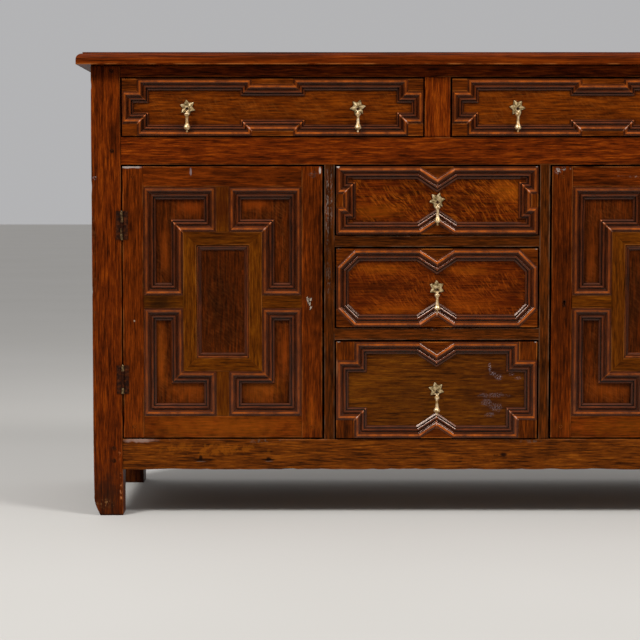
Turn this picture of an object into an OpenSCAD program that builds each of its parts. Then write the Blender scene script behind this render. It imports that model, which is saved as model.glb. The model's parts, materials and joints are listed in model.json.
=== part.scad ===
// Oak dresser base with a geometric moulded front: two wide drawers over a stack of
// three drawers between two panelled cupboard doors. Millimetres, +Z up, the front
// faces -Y, the origin is on the floor under the middle of the top.

/* [Case] */
// Width over the outer faces of the posts
case_w = 1340; // [1260:10:1440]
// Depth from the front of the posts to the back of the case
case_d = 480; // [440:5:530]
// Clear height of the feet below the bottom rails
foot_h = 90; // [60:5:130]
// Width of each post seen from the front
post_w = 58; // [54:1:66]
// Depth of each post seen from the side
post_d = 54; // [50:1:62]
// Thickness of the front rails, stiles and blades
rail_t = 25; // [24:0.5:30]
// Thickness of the side rails
side_rail_t = 24; // [22:1:28]
// Thickness of the rear rails
rear_rail_t = 22; // [20:1:28]
// Width of the worn corner of the left front foot
left_foot_wear = 12; // [1:1:16]
// Width of the worn corner of the right front foot
right_foot_wear = 5; // [1:1:16]
// Height of a worn corner over its width
foot_wear_slope = 3.1; // [1:0.1:4]

/* [Heights of the front] */
// Height of the bottom rail
bottom_rail_h = 61; // [52:1:70]
// Clear height for the lowest stacked drawer
low_open_h = 193.5; // [180:0.5:220]
// Height of the blade above the lowest stacked drawer
low_blade_h = 23.5; // [20:0.5:30]
// Clear height for the second stacked drawer
mid_open_h = 157.5; // [145:0.5:180]
// Height of the blade above the second stacked drawer
high_blade_h = 22.5; // [20:0.5:30]
// Clear height for the upper stacked drawer
high_open_h = 136.5; // [132:0.5:160]
// Height of the middle rail
middle_rail_h = 53.5; // [46:0.5:64]
// Clear height for the two wide drawers
top_open_h = 115; // [110:1:135]
// Height of the rail under the top
top_rail_h = 23; // [22:1:34]

/* [Widths of the front] */
// Clear width of the drawer stack
stack_w = 397; // [370:1:430]
// Width of the two narrow stiles beside the stack
inner_stile_w = 20.2; // [19:0.2:26]
// Width of the muntin between the two wide drawers
drawer_muntin_w = 50; // [44:1:60]

/* [Top] */
// Thickness of the top boards
top_t = 24; // [20:1:30]
// Overhang of the top at the front and the sides
top_over = 25; // [24:1:35]
// Overhang of the top at the back
top_over_back = 3; // [0:1:10]
// Depth of the front board of the top
top_front_board_d = 290; // [240:10:340]
// Radius of the thumb moulding round the top
thumb_r = 12; // [8:1:15]
// Width of the flat step inside the thumb moulding
thumb_step = 2.5; // [1.5:0.5:4]

/* [Side frames] */
// Height of the side rail under the top
side_top_rail_h = 50; // [44:2:60]
// Width of the upright in the middle of each side
side_muntin_w = 60; // [50:2:80]
// Thickness of the side panels
side_panel_t = 9; // [7:0.5:11]
// Depth of the panel faces behind the side frame
side_panel_recess = 7; // [5:0.5:8]

/* [Back, floor and inside] */
// Thickness of the back boards
back_board_t = 10; // [8:1:14]
// Number of back boards
back_board_count = 8; // [5:1:10]
// Width of the laps between the back boards
back_lap = 10; // [6:1:14]
// Thickness of the floor boards
floor_t = 12; // [10:1:16]
// Number of floor boards
floor_board_count = 8; // [6:1:10]
// Step from the bottom rail down to the floor
floor_drop = 3; // [2:1:8]
// Thickness of the upright partitions
partition_t = 14; // [12:1:16]
// Height of the shelves above the floor boards
shelf_rise = 200; // [150:5:205]
// Thickness of the shelves
shelf_t = 12; // [10:1:16]
// Gap between a shelf and the door in front of it
shelf_front_gap = 2; // [1:0.5:10]
// Section of the shelf cleats
cleat = 18; // [14:1:24]
// Height of the drawer runners
runner_h = 12; // [9:1:14]
// Width of the bearer between the wide drawers
bearer_w = 40; // [30:2:44]
// Height of the bearer between the wide drawers
bearer_h = 40; // [30:2:50]
// Length of the door stops
door_stop_l = 140; // [80:10:200]
// Section of the door stops
door_stop = 12; // [8:1:16]
// Gap between a closed door and its stop
door_stop_gap = 0.3; // [0.2:0.1:1]

/* [Joinery] */
// Thickness of the tenons
tenon_t = 10; // [8:0.5:11]
// Length of the tenons in the posts
tenon_l = 35; // [28:1:40]
// Length of the side rail tenons in the posts
side_tenon_l = 24; // [20:1:26]
// Length of the short tenons between rails and stiles
stub_l = 10; // [6:1:12]
// Shoulder above and below each tenon
shoulder = 6; // [4:0.5:7]
// Depth of grooves for panels, boards and partitions
groove = 8; // [5:0.5:9]
// Diameter of the pegs
peg_dia = 8; // [6:0.5:10]
// Length that a peg stands proud
peg_proud = 0.6; // [0.2:0.2:1.5]
// Length of a peg past the tenon of a front or rear rail
peg_past = 12; // [6:1:14]
// Length of a peg past the tenon of a side rail
side_peg_past = 6; // [3:1:8]
// Distance of the pegs from the edges of the bottom rails
low_peg_edge = 18.3; // [14:0.1:21]
// Play between the pieces of a joint
play = 0.1; // [0.05:0.05:0.15]

/* [Drawers] */
// Gap at each side of a drawer front
drawer_side_gap = 3; // [2:0.5:5]
// Gap under a drawer front
drawer_low_gap = 2; // [1:0.5:3]
// Gap over a drawer front
drawer_high_gap = 3.2; // [2:0.2:5]
// Depth of the drawer fields behind the front rails
drawer_recess = 3; // [1:0.5:4]
// Gap between a front board and the ends of its runners
runner_end_gap = 0.3; // [0.2:0.1:1]
// Gap over a runner in the groove of a drawer side
runner_gap = 0.3; // [0.2:0.1:0.5]
// Gap under a runner in the groove of a drawer side
runner_low_gap = 1; // [0.5:0.5:2]
// Gap beside a runner in the groove of a drawer side
runner_side_gap = 0.5; // [0.3:0.1:1]
// Free space between the drawers and the rear rails
drawer_back_gap = 18; // [5:1:60]
// Thickness of the drawer sides
side_t = 14; // [12:1:16]
// Thickness of the drawer backs
drawer_back_t = 12; // [10:1:14]
// Thickness of the drawer bottoms
bottom_t = 8; // [6:1:10]
// Depth of the runner groove in a drawer side
side_groove = 7; // [5:0.5:8]
// Length of the dovetails in the front boards
tail_l = 12; // [9:1:14]
// Width of a dovetail at its end
tail_w = 36; // [24:2:40]
// Spread of a dovetail on each side
tail_spread = 3.5; // [2:0.5:5]
// Least spacing of the dovetails
tail_pitch = 60; // [50:5:80]
// Drop of the sides below the top of the front board
side_drop = 4; // [2:1:8]

/* [Mouldings] */
// Width of the moulding on the stacked drawers and the doors
mould_w = 24; // [21:0.5:26]
// Width of the moulding on the wide drawers
top_mould_w = 22; // [19:0.5:23]
// Height of the moulding bead over a drawer field
mould_h = 10; // [9:0.5:13]
// Height of the blocks over a drawer field
block_h = 6.5; // [5:0.5:8]
// Half width of the V blocks
v_half = 32; // [28:1:36]
// Height of the V blocks
v_rise = 21; // [16:1:22]
// Width of the side blocks of the upper stacked drawer
side_block_w = 13.6; // [10:0.2:18]
// Height of the side blocks of the upper stacked drawer
side_block_h = 25; // [20:1:28]
// Leg of the corner triangles of the second drawer
corner_cut = 35; // [30:1:38]
// Side of the corner squares of the lowest drawer
corner_square = 35.5; // [30:0.5:40]
// Width of the corner blocks of the wide drawers
top_corner_w = 29; // [24:1:34]
// Height of the corner blocks of the wide drawers
top_corner_h = 24; // [20:1:26]
// Width of the step at the middle of a wide drawer
step_w = 80; // [66:2:100]
// Height of the step at the middle of a wide drawer
step_h = 10; // [6:1:12]

/* [Doors] */
// Thickness of the doors
door_t = 22; // [21:0.5:24]
// Gap at the hinge edge of a door
hinge_gap = 2; // [1.5:0.5:3]
// Gap at the free edge of a door
door_free_gap = 3.8; // [3:0.2:5]
// Gap under a door
door_low_gap = 2.5; // [1.5:0.5:4]
// Gap over a door
door_high_gap = 3; // [2:0.5:5]
// Width of the door stiles
door_stile_w = 40.5; // [40:0.5:48]
// Length of the tenons of the door rails
door_tenon_l = 28; // [20:1:31]
// Diameter of the pegs in the doors
door_peg_dia = 6.4; // [5:0.2:8]
// Length that a door peg stands proud
door_peg_proud = 0.3; // [0.1:0.1:0.6]
// Height of the top rail of a door
door_top_rail_h = 39.5; // [36:0.5:48]
// Height of the bottom rail of a door
door_bottom_rail_h = 43; // [38:0.5:50]
// Depth of the door panel behind the frame
door_recess = 8; // [7:0.5:9]
// Thickness of the door panel
door_panel_t = 8; // [6:0.5:9]
// Width of the upright arms of the L panels
arm_w = 76.5; // [66:0.5:84]
// Height of the lying legs of the L panels
leg_h = 87; // [74:1:94]
// Width of the short muntins and rails of a door
short_w = 25; // [20:1:30]
// Width of the strips of the inner frame
strip_w = 26; // [20:1:30]
// Lift of the door moulding over the drawer moulding
door_mould_lift = 2; // [1:0.5:3]
// Width of the small moulding round the centre panel
small_mould_w = 10; // [7:0.5:13]
// Height of the small moulding round the centre panel
small_mould_h = 6; // [4:0.5:7]

/* [Hinges and locks] */
// Height of the hinge leaves
leaf_h = 55; // [45:1:65]
// Width of the hinge leaves on the wood
leaf_w = 9; // [7:0.5:12]
// Thickness of the hinge leaves
leaf_t = 1.2; // [1:0.1:1.5]
// Radius of the hinge knuckles
knuckle_r = 2.6; // [2.4:0.1:3]
// Radius of the hinge pins
pin_r = 1.3; // [1.1:0.1:1.5]
// Radial clearance of the hinge pins
pin_gap = 0.05; // [0.03:0.01:0.09]
// Length of a pin past the ends of its leaves
pin_over = 1; // [0.5:0.5:3]
// Gap between the ends of two knuckles
knuckle_end_gap = 0.15; // [0.1:0.05:0.3]
// Gap between the knuckles and the edge of the other leaf
leaf_edge_gap = 0.2; // [0.1:0.05:0.4]
// Distance from the ends of a door to the middle of its hinges
hinge_inset = 114; // [80:2:150]
// Width of the lock case
lock_w = 31; // [29:0.5:31]
// Height of the lock case
lock_h = 58; // [46:2:70]
// Depth of the lock case
lock_d = 13; // [12:0.5:14]
// Thickness of the walls of the lock case
lock_wall = 1.5; // [1:0.25:2]
// Distance from the free edge to the keyhole
key_inset = 25; // [20:1:28]
// Travel of the lock bolt
bolt_travel = 9; // [7:0.5:10]
// Height of the lock bolt
bolt_h = 12; // [9:1:16]
// Thickness of the lock bolt
bolt_t = 7; // [5:0.5:8]
// Height of the bolt over the middle of the lock
bolt_rise = 8; // [7:0.5:9]
// Thickness of the guides over and under the bolt
bolt_guide_t = 1; // [0.5:0.25:1.5]
// Gap round the bolt in its lock
bolt_gap = 0.25; // [0.15:0.05:0.4]
// Gap round the bolt in the mortise of the stile
mortise_gap = 0.5; // [0.3:0.1:1]
// Step from the edge of the door back to the tip of the bolt
bolt_tip_gap = 0.3; // [0.2:0.1:1]
// Radius of the round part of the keyhole
keyhole_r = 2.4; // [2:0.1:3]
// Width of the slot of the keyhole
key_slot_w = 2.6; // [2:0.2:3.6]
// Height of the slot of the keyhole
key_slot_h = 8; // [6:0.5:10]

/* [Pulls] */
// Distance from the ends of a wide drawer to its pulls
pull_inset = 126; // [100:2:160]
// Outer radius of the star plate
star_r = 15.5; // [13:0.5:18]
// Radius of the round middle of the star plate
star_core_r = 7; // [6:0.5:8]
// Number of points of the star
star_points = 6; // [5:1:8]
// Width of a point of the star at its root
star_root_w = 9.2; // [7:0.2:11]
// Width of a point of the star at its shoulder
star_shoulder_w = 6.4; // [4:0.2:8]
// Radius at the shoulder of a point of the star
star_shoulder_r = 9.6; // [7:0.2:12]
// Height of the star over the staple
star_lift = 2.5; // [0:0.5:3]
// Thickness of the star plate
star_t = 1.2; // [0.8:0.1:2]
// Radius of the wire of the staple
wire_r = 0.8; // [0.6:0.1:0.9]
// Middle radius of the ring on the drop
ring_mid_r = 3; // [2.9:0.1:3.4]
// Radius of the wire of the ring
ring_wire_r = 1.15; // [1:0.05:1.2]
// Length of the straight bar at the top of the ring
ring_bar_l = 2; // [1.6:0.1:3]
// Radial clearance of the ring in the staple
ring_gap = 0.08; // [0.04:0.01:0.1]
// Distance from the drawer field to the middle of the staple's loop
pull_out = 17; // [16.5:0.5:18]
// Length of the drop from the middle of its ring to its tip
drop_len = 43; // [40:0.5:50]
// Largest radius of the drop
bulb_r = 6.4; // [5:0.2:6.6]
// Length of the clinched wire ends
clinch_l = 6; // [4:1:9]
// Radius of the clinched wire ends
clinch_r = 0.76; // [0.5:0.02:0.78]

/* [Hidden] */
$fn = 48;

// Heights from the floor up
bottom_rail_z = foot_h;
opening_z = bottom_rail_z + bottom_rail_h;
low_blade_z = opening_z + low_open_h;
mid_open_z = low_blade_z + low_blade_h;
high_blade_z = mid_open_z + mid_open_h;
high_open_z = high_blade_z + high_blade_h;
middle_rail_z = high_open_z + high_open_h;
top_open_z = middle_rail_z + middle_rail_h;
top_rail_z = top_open_z + top_open_h;
frame_h = top_rail_z + top_rail_h;
total_h = frame_h + top_t;
floor_z = opening_z - floor_drop;
side_top_rail_z = frame_h - side_top_rail_h;

// Places across the width
half_w = case_w / 2;
post_in = half_w - post_w;
stack_half = stack_w / 2;
stile_out = stack_half + inner_stile_w;
muntin_half = drawer_muntin_w / 2;
side_in = half_w - side_rail_t;
partition_in = stack_half + (inner_stile_w - partition_t) / 2;
partition_out = partition_in + partition_t;

// Places along the depth
top_d = case_d + top_over + top_over_back;
front_y = -top_d / 2 + top_over;
back_y = front_y + case_d;
rail_back_y = front_y + rail_t;
post_back_y = front_y + post_d;
rear_post_y = back_y - post_d;
rear_rail_back_y = back_y - back_board_t;
rear_rail_y = rear_rail_back_y - rear_rail_t;
field_y = front_y + drawer_recess;
front_back_y = rail_back_y - runner_end_gap;
drawer_end_y = rear_rail_y - drawer_back_gap;
tenon_in_y = front_y + (rail_t - tenon_t) / 2;
rear_tenon_y = rear_rail_y + (rear_rail_t - tenon_t) / 2;
side_tenon_x = side_in + (side_rail_t - tenon_t) / 2;

// Faces of the right door; the left one is its mirror image
door_x0 = stile_out + door_free_gap;
door_x1 = post_in - hinge_gap;
door_z0 = opening_z + door_low_gap;
door_z1 = middle_rail_z - door_high_gap;
door_cx = (door_x0 + door_x1) / 2;
light_x0 = door_x0 + door_stile_w;
light_x1 = door_x1 - door_stile_w;
light_z0 = door_z0 + door_bottom_rail_h;
light_z1 = door_z1 - door_top_rail_h;
light_cz = (light_z0 + light_z1) / 2;
inner_x0 = light_x0 + arm_w;
inner_x1 = light_x1 - arm_w;
inner_z0 = light_z0 + leg_h;
inner_z1 = light_z1 - leg_h;
panel_y = front_y + door_recess;
hinge_x = post_in - hinge_gap / 2;
hinge_y = front_y - knuckle_r;
key_z = (door_z0 + door_z1) / 2;
lock_y = front_y + door_t - lock_d;
bolt_y = lock_y + (lock_d - bolt_t) / 2;
bolt_z = key_z + bolt_rise;
keyhole_z = key_z + key_slot_h / 4;

// Pulls
loop_r = ring_wire_r + ring_gap + wire_r;
wire_hole_r = loop_r + wire_r + play;

// Colours
oak = [0.33, 0.15, 0.07];
dark_oak = [0.24, 0.11, 0.06];
inside_oak = [0.45, 0.29, 0.17];
aged_brass = [0.72, 0.62, 0.38];
iron = [0.16, 0.14, 0.13];

// A box from its lowest corner to its highest corner
module block(low, high) {
    translate(low) cube(high - low);
}

// The same box grown on every side
module grown_block(low, high, grow) {
    block(low - [grow, grow, grow], high + [grow, grow, grow]);
}

// What is modelled on the right, put on the right (1) or the left (-1)
module on_side(side) {
    mirror([side < 0 ? 1 : 0, 0, 0]) children();
}

// Flat drawing on a front: x to the right, y up, z out of the face
module on_front(x, y, z) {
    translate([x, y, z]) rotate([90, 0, 0]) children();
}

// A prism along X from an outline in Y and Z
module along_x(x0, x1, outline) {
    translate([x0, 0, 0]) rotate([90, 0, 90]) linear_extrude(x1 - x0) polygon(outline);
}

// A prism along Y from an outline in X and Z
module along_y(y0, y1, outline) {
    translate([0, y1, 0]) rotate([90, 0, 0]) linear_extrude(y1 - y0) polygon(outline);
}

// A prism along Z from an outline in X and Y
module along_z(z0, z1, outline) {
    translate([0, 0, z0]) linear_extrude(z1 - z0) polygon(outline);
}

// Points on an arc
function arc(cx, cy, r, from, to, steps) =
    [for (i = [0:steps]) let(a = from + (to - from) * i / steps) [cx + r * cos(a), cy + r * sin(a)]];

// Mitred mouldings: a closed outline runs anticlockwise, its inside is on the left

// Direction of the side of the outline that starts at point i
function side_dir(path, i) =
    let(a = path[i % len(path)], b = path[(i + 1) % len(path)]) (b - a) / norm(b - a);

// Normal of that side, to the inside
function side_normal(path, i) = let(d = side_dir(path, i)) [-d[1], d[0]];

// Corner i moved inwards along its mitre, w from both sides
function inset_corner(path, i, w) =
    let(n = len(path), a = side_normal(path, i + n - 1), b = side_normal(path, i))
    path[i % n] + w * (a + b) / (1 + a * b);

// One length of moulding between its two mitres
module mitred_length(path, i, profile, w, h) {
    d = side_dir(path, i);
    a = path[i];
    b = path[(i + 1) % len(path)];
    foot_print = [
        a + d * play / 2,
        b - d * play / 2,
        inset_corner(path, i + 1, w) - d * play / 2,
        inset_corner(path, i, w) + d * play / 2
    ];
    spare = 2 * w;
    intersection() {
        linear_extrude(h + 1) polygon(foot_print);
        translate(a - d * spare)
            rotate([0, 0, atan2(d[1], d[0])])
            rotate([90, 0, 90])
            linear_extrude(norm(b - a) + 2 * spare) polygon(profile);
    }
}

// A whole run of moulding round an outline
module moulding_run(path, profile, w, h) {
    for (i = [0:len(path) - 1]) mitred_length(path, i, profile, w, h);
}

// Section of the geometric moulding: fillet, bead, ridge, deep groove and cove. The
// shares of the width are those of one moulding plane, so they grow together.
function geometric_profile(w, h) =
    let(
        k = w / 24,
        bead_r = 3.5 * k,
        bead_u = 6 * k,
        fillet_h = h - bead_r,
        cove_r = 8.2 * k,
        cove_end_h = h - 9 * k
    )
    concat(
        [[play, 0], [play, fillet_h]],
        arc(bead_u, fillet_h, bead_r, 180, 0, 6),
        [[bead_u + bead_r, fillet_h - 0.8 * k], [10.3 * k, fillet_h - 0.8 * k]],
        [[10.3 * k, h - 1.4 * k], [13.6 * k, h - 1.4 * k]],
        [[13.6 * k, h - 7 * k], [15.8 * k, h - 7 * k]],
        [[15.8 * k, cove_end_h + cove_r * (1 - sin(20))]],
        arc(w, cove_end_h + cove_r, cove_r, 200, 270, 4),
        [[w, 0]]
    );

// Section of the small moulding round the centre panel of a door
function small_profile(w, h) = [
    [play, 0], [play, h], [0.3 * w, h], [0.36 * w, 0.76 * h], [0.7 * w, 0.68 * h], [w, 0.2 * h], [w, 0]
];

// Tenons: a bar through the whole rail that also cuts the mortises when it is grown

module x_tenon(x0, x1, y, z, h, reach, grow) {
    grown_block([x0 - reach, y, z + shoulder], [x1 + reach, y + tenon_t, z + h - shoulder], grow);
}

module front_rail_tenon(z, h, grow) {
    x_tenon(-post_in, post_in, tenon_in_y, z, h, tenon_l, grow);
}

module rear_rail_tenon(z, h, grow) {
    x_tenon(-post_in, post_in, rear_tenon_y, z, h, tenon_l, grow);
}

// Tenon of a right-hand side rail
module side_rail_tenon(z, h, grow) {
    grown_block(
        [side_tenon_x, post_back_y - side_tenon_l, z + shoulder],
        [side_tenon_x + tenon_t, rear_post_y + side_tenon_l, z + h - shoulder],
        grow
    );
}

// Upright tenon from below z0 to above z1, w wide and at depth y
module z_tenon(x, w, y, z0, z1, grow) {
    grown_block([x - w / 2, y, z0 - stub_l], [x + w / 2, y + tenon_t, z1 + stub_l], grow);
}

module muntin_tenon(grow) {
    z_tenon(0, drawer_muntin_w - 2 * shoulder, tenon_in_y, top_open_z, top_rail_z, grow);
}

// Tenons of the stile beside the stack on the right
module stile_tenon(grow) {
    stile_x = (stack_half + stile_out) / 2;
    z_tenon(stile_x, inner_stile_w - shoulder, tenon_in_y, opening_z, middle_rail_z, grow);
}

module rear_muntin_tenon(grow) {
    z_tenon(0, drawer_muntin_w - 2 * shoulder, rear_tenon_y, top_open_z, side_top_rail_z, grow);
}

module blade_tenon(z, h, grow) {
    x_tenon(-stack_half, stack_half, tenon_in_y, z, h, stub_l, grow);
}

// Tenon of the upright in the middle of the right-hand side
module side_muntin_tenon(grow) {
    mid_y = (front_y + back_y) / 2;
    grown_block(
        [side_tenon_x, mid_y - side_muntin_w / 2 + shoulder, opening_z - stub_l],
        [side_tenon_x + tenon_t, mid_y + side_muntin_w / 2 - shoulder, middle_rail_z + stub_l],
        grow
    );
}

// Heights of the three levels of rails, as [height from the floor, height of the rail]
front_rails = [
    [bottom_rail_z, bottom_rail_h], [middle_rail_z, middle_rail_h], [top_rail_z, top_rail_h]
];
side_rails = [
    [bottom_rail_z, bottom_rail_h], [middle_rail_z, middle_rail_h], [side_top_rail_z, side_top_rail_h]
];

// Pegs: each one lies in the tenons that it locks. The low and middle joints of the
// front have two and one, as the marks on the post show.
peg_r = peg_dia / 2;
front_peg_x = post_in + tenon_l / 2;
front_peg_zs = [
    bottom_rail_z + low_peg_edge, bottom_rail_z + bottom_rail_h - low_peg_edge,
    middle_rail_z + middle_rail_h / 2, top_rail_z + top_rail_h / 2
];
side_peg_zs = [
    bottom_rail_z + low_peg_edge, bottom_rail_z + bottom_rail_h - low_peg_edge,
    middle_rail_z + middle_rail_h / 2, side_top_rail_z + side_top_rail_h / 2
];
peg_l = tenon_in_y + tenon_t - front_y + peg_proud + peg_past;
side_peg_l = half_w - side_tenon_x + peg_proud + side_peg_past;

// All the pegs, or with grow the holes for them
module pegs(grow) {
    for (side = [-1, 1]) on_side(side) {
        for (z = front_peg_zs)
            translate([front_peg_x, front_y - peg_proud, z])
                rotate([-90, 0, 0]) cylinder(r = peg_r + grow, h = peg_l + grow);
        for (z = side_peg_zs) {
            translate([front_peg_x, back_y + peg_proud, z])
                rotate([90, 0, 0]) cylinder(r = peg_r + grow, h = peg_l + back_board_t + grow);
            for (y = [post_back_y - side_tenon_l / 2, rear_post_y + side_tenon_l / 2])
                translate([half_w + peg_proud, y, z])
                    rotate([0, -90, 0]) cylinder(r = peg_r + grow, h = side_peg_l + grow);
        }
    }
}

// Panels of the right-hand side, or with grow the grooves that hold them
module side_panel_set(grow) {
    mid_y = (front_y + back_y) / 2;
    x0 = half_w - side_panel_recess - side_panel_t;
    x1 = half_w - side_panel_recess;
    y0 = post_back_y - groove;
    y1 = rear_post_y + groove;
    z0 = opening_z - groove;
    z1 = middle_rail_z + groove;
    grown_block([x0, y0, z0], [x1, mid_y - side_muntin_w / 2 + groove, z1], grow);
    grown_block([x0, mid_y + side_muntin_w / 2 - groove, z0], [x1, y1, z1], grow);
    grown_block([x0, y0, top_open_z - groove], [x1, y1, side_top_rail_z + groove], grow);
}

// The top: two boards with a thumb moulding on the front and the ends
module top_board() {
    half = half_w + top_over;
    y0 = -top_d / 2;
    joint_y = y0 + top_front_board_d;
    cut_z = total_h - thumb_r - thumb_step;
    color(oak) difference() {
        union() {
            block([-half, y0, frame_h], [half, joint_y - play, total_h]);
            block([-half, joint_y, frame_h], [half, top_d / 2, total_h]);
        }
        translate([-half - 1, y0, cut_z])
            rotate([90, 0, 90]) linear_extrude(2 * half + 2) thumb_waste();
        for (side = [-1, 1]) on_side(side)
            translate([half, y0 - 1, cut_z])
                rotate([90, 0, 180]) linear_extrude(top_d + 2) thumb_waste();
    }
}

// Waste outside the thumb moulding: x from the edge inwards, y up from the cut
module thumb_waste() {
    polygon(concat(
        [[-1, -0.01], [0, -0.01]],
        arc(thumb_r, 0, thumb_r, 180, 90, 8),
        [[thumb_r, thumb_r + thumb_step + 1], [-1, thumb_r + thumb_step + 1]]
    ));
}

// Stock of a post
module post_stock(side, y) {
    on_side(side) block([post_in, y, 0], [half_w, y + post_d, frame_h]);
}

// Wedge that wear took off the outer lower corner of a front foot; it runs a little
// past the faces of the post
module foot_wear(side, w) {
    past = 1.1;
    outer = half_w + (past - 1) * w;
    low = -(past - 1) * foot_wear_slope * w;
    on_side(side) along_y(front_y - 1, post_back_y + 1, [
        [half_w - past * w, low], [outer, low], [outer, past * foot_wear_slope * w]
    ]);
}

module front_post(side, wear) {
    color(oak) difference() {
        post_stock(side, front_y);
        foot_wear(side, wear);
        for (rail = front_rails) front_rail_tenon(rail[0], rail[1], play);
        on_side(side) {
            for (rail = side_rails) side_rail_tenon(rail[0], rail[1], play);
            side_panel_set(play);
        }
        pegs(play / 2);
    }
}

module rear_post(side) {
    color(dark_oak) difference() {
        post_stock(side, rear_post_y);
        for (rail = side_rails) rear_rail_tenon(rail[0], rail[1], play);
        on_side(side) {
            for (rail = side_rails) side_rail_tenon(rail[0], rail[1], play);
            side_panel_set(play);
        }
        pegs(play / 2);
    }
}

// Rails of the front frame
module front_rail(z, h) {
    difference() {
        union() {
            block([-post_in, front_y, z], [post_in, rail_back_y, z + h]);
            front_rail_tenon(z, h, 0);
        }
        pegs(play / 2);
    }
}

module front_top_rail() {
    color(oak) difference() {
        front_rail(top_rail_z, top_rail_h);
        muntin_tenon(play);
    }
}

module front_middle_rail() {
    color(oak) difference() {
        front_rail(middle_rail_z, middle_rail_h);
        muntin_tenon(play);
        for (side = [-1, 1]) on_side(side) stile_tenon(play);
    }
}

module front_bottom_rail() {
    color(oak) difference() {
        front_rail(bottom_rail_z, bottom_rail_h);
        for (side = [-1, 1]) on_side(side) stile_tenon(play);
        floor_board_set(play);
    }
}

module drawer_muntin() {
    color(oak) difference() {
        union() {
            block([-muntin_half, front_y, top_open_z], [muntin_half, rail_back_y, top_rail_z]);
            muntin_tenon(0);
        }
        bearer_tenon(play);
    }
}

module inner_stiles() {
    color(oak) for (side = [-1, 1]) on_side(side) difference() {
        union() {
            block([stack_half, front_y, opening_z], [stile_out, rail_back_y, middle_rail_z]);
            stile_tenon(0);
        }
        blade_tenon(low_blade_z, low_blade_h, play);
        blade_tenon(high_blade_z, high_blade_h, play);
        partition_board(play);
        bolt_mortise();
    }
}

module drawer_blades() {
    color(oak) for (blade = [[low_blade_z, low_blade_h], [high_blade_z, high_blade_h]]) union() {
        block([-stack_half, front_y, blade[0]], [stack_half, rail_back_y, blade[0] + blade[1]]);
        blade_tenon(blade[0], blade[1], 0);
    }
}

// Frames and panels of the sides
module side_frame(side) {
    mid_y = (front_y + back_y) / 2;
    color(oak) on_side(side) {
        difference() {
            union() for (rail = side_rails) {
                block([side_in, post_back_y, rail[0]], [half_w, rear_post_y, rail[0] + rail[1]]);
                side_rail_tenon(rail[0], rail[1], 0);
            }
            side_muntin_tenon(play);
            side_panel_set(play);
            pegs(play / 2);
        }
        difference() {
            union() {
                block(
                    [side_in, mid_y - side_muntin_w / 2, opening_z + play],
                    [half_w, mid_y + side_muntin_w / 2, middle_rail_z - play]
                );
                side_muntin_tenon(0);
            }
            side_panel_set(play);
        }
    }
}

module side_panels(side) {
    color(oak) on_side(side) side_panel_set(0);
}

// Rear rails with the upright that carries the bearer
module rear_rails() {
    color(dark_oak) {
        difference() {
            union() for (rail = side_rails) {
                block([-post_in, rear_rail_y, rail[0]], [post_in, rear_rail_back_y, rail[0] + rail[1]]);
                rear_rail_tenon(rail[0], rail[1], 0);
            }
            rear_muntin_tenon(play);
            floor_board_set(play);
            pegs(play / 2);
        }
        difference() {
            union() {
                block(
                    [-muntin_half, rear_rail_y, top_open_z + play],
                    [muntin_half, rear_rail_back_y, side_top_rail_z - play]
                );
                rear_muntin_tenon(0);
            }
            bearer_tenon(play);
        }
    }
}

// Upright back boards that lap over each other
module back_boards() {
    pitch = 2 * post_in / back_board_count;
    half_lap = back_lap / 2;
    y0 = rear_rail_back_y;
    mid_y = y0 + back_board_t / 2;
    color(dark_oak) for (i = [0:back_board_count - 1]) {
        x0 = -post_in + i * pitch;
        x1 = x0 + pitch;
        left_edge = i == 0 ? [[x0, y0], [x0, back_y]] : [
            [x0 - half_lap + play, y0], [x0 - half_lap + play, mid_y - play / 2],
            [x0 + half_lap + play, mid_y - play / 2], [x0 + half_lap + play, back_y]
        ];
        right_edge = i == back_board_count - 1 ? [[x1, back_y], [x1, y0]] : [
            [x1 + half_lap, back_y], [x1 + half_lap, mid_y + play / 2],
            [x1 - half_lap, mid_y + play / 2], [x1 - half_lap, y0]
        ];
        along_z(bottom_rail_z, frame_h, concat(left_edge, right_edge));
    }
}

// Floor boards from front to back, notched round the posts. They end behind the tenons
// of the stiles; with grow they cut their grooves.
module floor_board_set(grow) {
    width = 2 * (side_in - play) / floor_board_count;
    difference() {
        for (i = [0:floor_board_count - 1]) {
            x0 = -side_in + play + i * width;
            grown_block(
                [x0 + (i == 0 ? 0 : play), tenon_in_y + tenon_t + 2 * play, floor_z - floor_t],
                [x0 + width, rear_rail_y + groove, floor_z],
                grow
            );
        }
        for (side = [-1, 1]) on_side(side) {
            block([post_in - play, front_y, 0], [half_w, post_back_y + play, total_h]);
            block([post_in - play, rear_post_y - play, 0], [half_w, back_y, total_h]);
        }
    }
}

module floor_boards() {
    color(inside_oak) floor_board_set(0);
}

// Partition on the right of the stack, housed in the back of the narrow stile
module partition_board(grow) {
    difference() {
        grown_block(
            [partition_in, rail_back_y - groove / 2, floor_z],
            [partition_out, rear_rail_back_y, middle_rail_z],
            grow
        );
        block([0, rear_rail_y, 0], [half_w, rear_rail_back_y + 1, opening_z]);
        block([0, front_y, 0], [half_w, rail_back_y, opening_z]);
    }
}

module partitions() {
    color(inside_oak) for (side = [-1, 1]) on_side(side) partition_board(0);
}

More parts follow.
